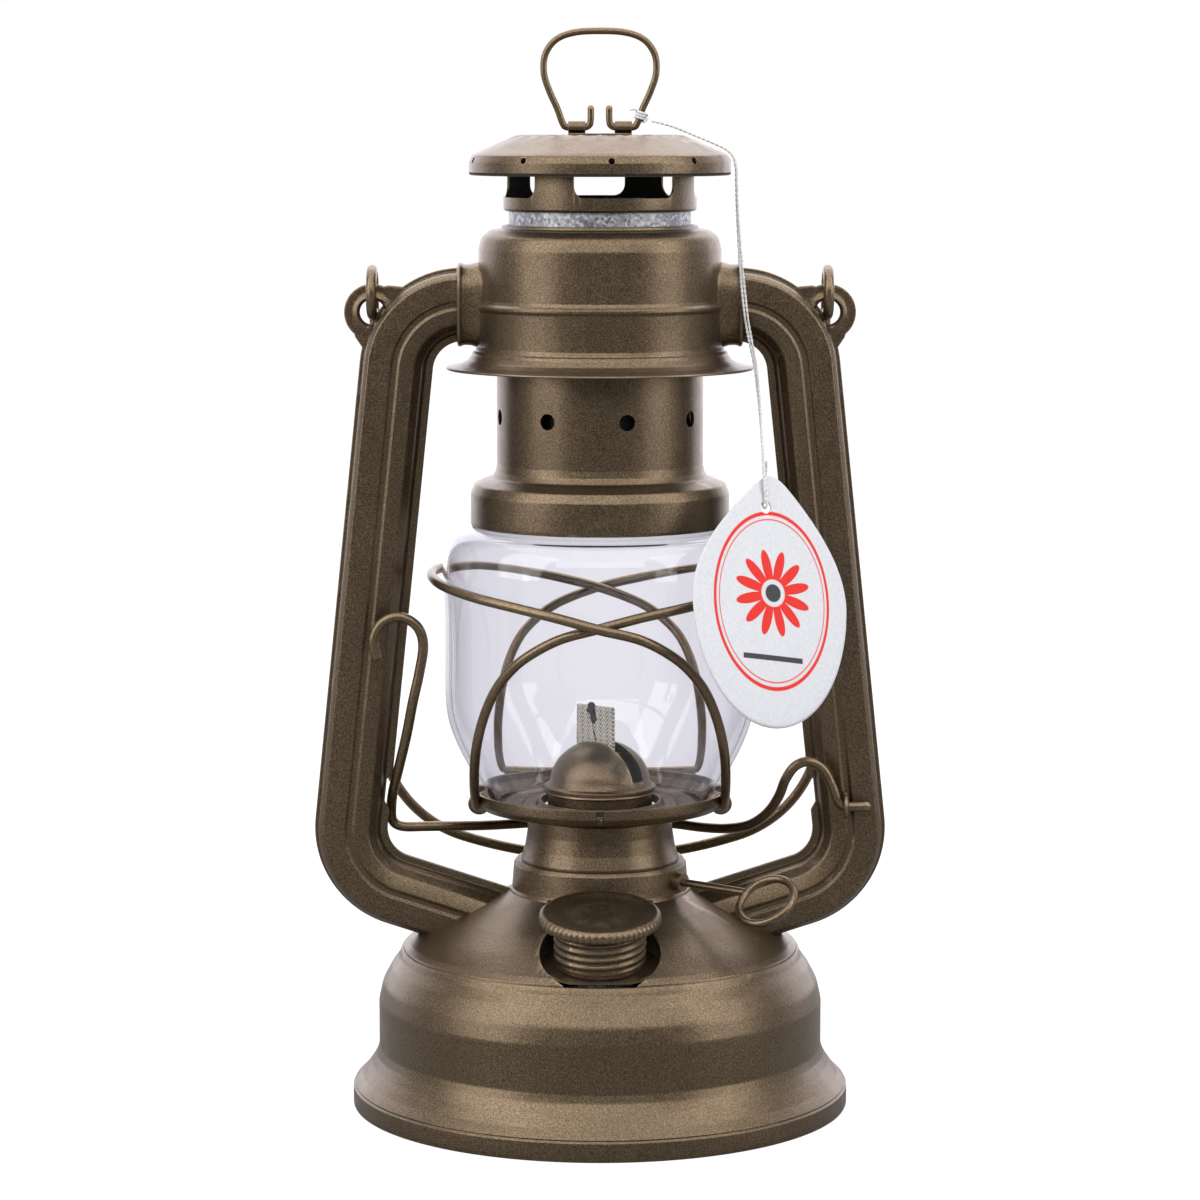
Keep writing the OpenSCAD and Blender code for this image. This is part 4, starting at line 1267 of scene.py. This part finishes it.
LEVER = [(-58.6, -10.8, 121), (-59.3, -11, 125.5), (-57, -11, 129.8), (-52.5, -11, 131.4),
         (-48, -10.9, 129), (-46.3, -10.7, 124), (-47.4, -10.4, 116.5), (-49.2, -9.8, 108.5),
         (-51, -7.6, 99.5), (-53.2, -4, 90.5), (-55, 0, 83.4), (-55.7, 3.3, 78.5), (-55.5, 4.8, 74.6),
         (-53, 5.4, 72.8), (-47, 6.2, 72.6), (-39, 8, 72.4), (-31, 12, 71.8), (-23.5, 17.5, 71.2),
         (-13, 22.3, 71), (0, 24, 71), (13, 22.3, 71), (21, 18.4, 71), (27.5, 12.5, 71.2), (34, 6.5, 72),
         (40, 1.5, 74), (44.5, -2.5, 78), (47.3, -6, 83), (48.9, -9, 88), (51.4, -10.4, 91.8),
         (55, -10.6, 93), (58.8, -10.5, 90.8), (61.2, -10.3, 86.2), (62.7, -10.2, 82.4), (65, -10.2, 81),
         (70, -10.2, 81)]


def make_lug():
    """The lever's bracket: a rounded plate with a raised boss round its hole."""
    at = Matrix.Translation((64.2, -10.2, 81.0)) @ Matrix.Rotation(math.radians(90), 4, "Y")
    boss = turned([(1.85, 0.0), (3.2, 0.0), (3.4, 0.25), (3.4, 0.75), (3.1, 1.0), (2.7, 1.25), (2.1, 1.25),
                   (1.85, 1.05)], 40, at)
    base = piece("lever_lug_arm", *block((64.25, 65.15), (-10.6, -7.9), (77.4, 84.6)), BRONZE,
                 "lantern_frame", "lever_lug")
    cut(base, *rod((60, -10.2, 81), (70, -10.2, 81), 2.6, 32))
    soften(base, 0.3, 3, 40)
    sharp(base, 60)
    piece("lever_lug_boss", *boss, BRONZE, "lantern_frame")


make_globe()
make_plate()
make_guard()
make_lug()
wire("globe_lever_wire", LEVER, 1.35, "globe_lever", "globe_lever")


# ---------------------------------------------------------------- bail
def bail_route():
    """Both eyes, the straight legs behind the tubes and the grip's wide arc, leaning back a little."""
    x0, drop, corner_r, grip_r, eye, back = 59.6, 158.5, 32.0, 120.0, 5.85, 9.6
    cy = grip_r - drop - math.sqrt((grip_r - corner_r) ** 2 - (x0 - corner_r) ** 2)
    turn = math.degrees(math.asin((x0 - corner_r) / (grip_r - corner_r)))
    half = [(x0, eye * math.cos(math.radians(a)), eye * math.sin(math.radians(a)))
            for a in range(290, 4, -15)]
    half += [(x0, y, z) for y, z in ((5.9, -1), (6.6, -4), (7.9, -8), (9.1, -12))]
    half += [(x0, back, z) for z in (-17, -60, -100)]
    for k in range(19):
        a = math.radians((turn - 90) * k / 18)
        half.append((x0 - corner_r + corner_r * math.cos(a), back, cy + corner_r * math.sin(a)))
    for k in range(1, 9):
        a = math.radians(turn - 90 - turn * k / 8)
        half.append((grip_r * math.cos(a), back, grip_r - drop + grip_r * math.sin(a)))
    route = half + [(-x, y, z) for x, y, z in reversed(half[:-1])]
    lean = Matrix.Translation((0, 0, 215.7)) @ Matrix.Rotation(math.radians(7.5), 4, "X")
    return [lean @ Vector(p) for p in route]


wire("bail_wire", bail_route(), 1.4, "bail", "bail", steps=4)


# ---------------------------------------------------------------- stage
def backdrop(tree, picked_up, seen, veil_kind):
    """Shows `seen` to the camera and a pale veil through glass; gloss and matt surfaces pick up the rest."""
    path = tree.nodes.new("ShaderNodeLightPath")
    veil = tree.nodes.new(veil_kind)
    veil.inputs["Color"].default_value = (0.86, 0.85, 0.90, 1.0)
    direct = tree.nodes.new("ShaderNodeMixShader")
    tree.links.new(path.outputs["Is Camera Ray"], direct.inputs[0])
    tree.links.new(picked_up, direct.inputs[1])
    tree.links.new(seen, direct.inputs[2])
    through = tree.nodes.new("ShaderNodeMixShader")
    tree.links.new(path.outputs["Is Transmission Ray"], through.inputs[0])
    tree.links.new(direct.outputs[0], through.inputs[1])
    tree.links.new(veil.outputs[0], through.inputs[2])
    return through.outputs[0]


def make_stage():
    """A floor that sweeps up behind the lantern."""
    n = Nodes("studio_floor")
    n.set(Base_Color=(0.15, 0.15, 0.15), Roughness=0.7, Specular_IOR_Level=0.1)
    n.bsdf.inputs["Emission Color"].default_value = (1.0, 1.0, 1.0, 1.0)
    n.bsdf.inputs["Emission Strength"].default_value = 0.84
    dim = n.add("ShaderNodeBsdfDiffuse")
    dim.inputs["Color"].default_value = (0.2, 0.2, 0.2, 1.0)
    glow = n.add("ShaderNodeEmission")
    glow.inputs["Color"].default_value = (0.95, 0.93, 1.0, 1.0)
    n.link(n.to_range(n.axes()[1], 0.08, 2.2, 0.5, 1.5), glow.inputs["Strength"])
    both = n.add("ShaderNodeAddShader")
    n.link(dim.outputs[0], both.inputs[0])
    n.link(glow.outputs[0], both.inputs[1])
    n.link(backdrop(n.tree, both.outputs[0], n.bsdf.outputs[0], "ShaderNodeEmission"),
           n.out.inputs["Surface"])
    prof = [(-2.2, 0.0), (1.0, 0.0)]
    for k in range(1, 17):
        a = math.pi / 2 * k / 16
        prof.append((1.0 + 0.8 * math.sin(a), 0.8 - 0.8 * math.cos(a)))
    prof.append((1.8, 3.0))
    verts = [(x, y, z - 0.0002) for x in (-3.0, 3.0) for y, z in prof]
    m = len(prof)
    mesh = bpy.data.meshes.new("studio_floor")
    mesh.from_pydata(verts, [], [(k, m + k, m + k + 1, k + 1) for k in range(m - 1)])
    mesh.polygons.foreach_set("use_smooth", [True] * len(mesh.polygons))
    mesh.materials.append(n.mat)
    floor = bpy.data.objects.new("studio_floor", mesh)
    bpy.context.scene.collection.objects.link(floor)


def area(name, place, target, size, radiance):
    """A soft box; its power follows from its size, so that radiance alone sets how bright it looks."""
    data = bpy.data.lights.new(name, "AREA")
    data.shape = "RECTANGLE"
    data.size, data.size_y = size
    data.energy = radiance * math.pi * size[0] * size[1]
    obj = bpy.data.objects.new(name, data)
    obj.location = place
    obj.rotation_euler = (Vector(target) - Vector(place)).to_track_quat("-Z", "Y").to_euler()
    bpy.context.scene.collection.objects.link(obj)


def make_light():
    world = bpy.data.worlds.new("studio")
    world.use_nodes = True
    bpy.context.scene.world = world
    tree = world.node_tree
    seen = tree.nodes["Background"]
    seen.inputs["Color"].default_value = (1.0, 1.0, 1.0, 1.0)
    room = tree.nodes.new("ShaderNodeBackground")
    turn = tree.nodes.new("ShaderNodeTexCoord")
    split = tree.nodes.new("ShaderNodeSeparateXYZ")
    tree.links.new(turn.outputs["Generated"], split.inputs[0])
    ramp = tree.nodes.new("ShaderNodeValToRGB")
    ramp.color_ramp.elements[0].position = 0.42
    ramp.color_ramp.elements[0].color = (0.16, 0.16, 0.165, 1)
    ramp.color_ramp.elements[1].position = 0.85
    ramp.color_ramp.elements[1].color = (0.95, 0.93, 1.0, 1)
    half = tree.nodes.new("ShaderNodeMapRange")
    half.inputs["From Min"].default_value = -1.0
    tree.links.new(split.outputs[1], half.inputs["Value"])
    tree.links.new(half.outputs["Result"], ramp.inputs["Fac"])
    tree.links.new(ramp.outputs["Color"], room.inputs["Color"])
    tree.links.new(backdrop(tree, room.outputs[0], seen.outputs[0], "ShaderNodeBackground"),
                   tree.nodes["World Output"].inputs["Surface"])
    mid = (0, 0, 0.14)
    area("box_left", (-0.95, -0.52, 0.62), mid, (0.8, 1.1), 3.7)
    area("box_right", (1.0, -0.42, 0.62), mid, (0.7, 1.1), 3.4)
    area("scrim_top", (0.0, 0.0, 1.05), (0, 0, 0), (1.5, 1.9), 2.1)
    area("scrim_front", (0.0, -1.15, 0.88), mid, (1.6, 0.5), 3.0)
    view = bpy.context.scene.view_settings
    view.view_transform = "Standard"
    view.look = "None"
    view.exposure = 0.0


make_stage()
make_light()
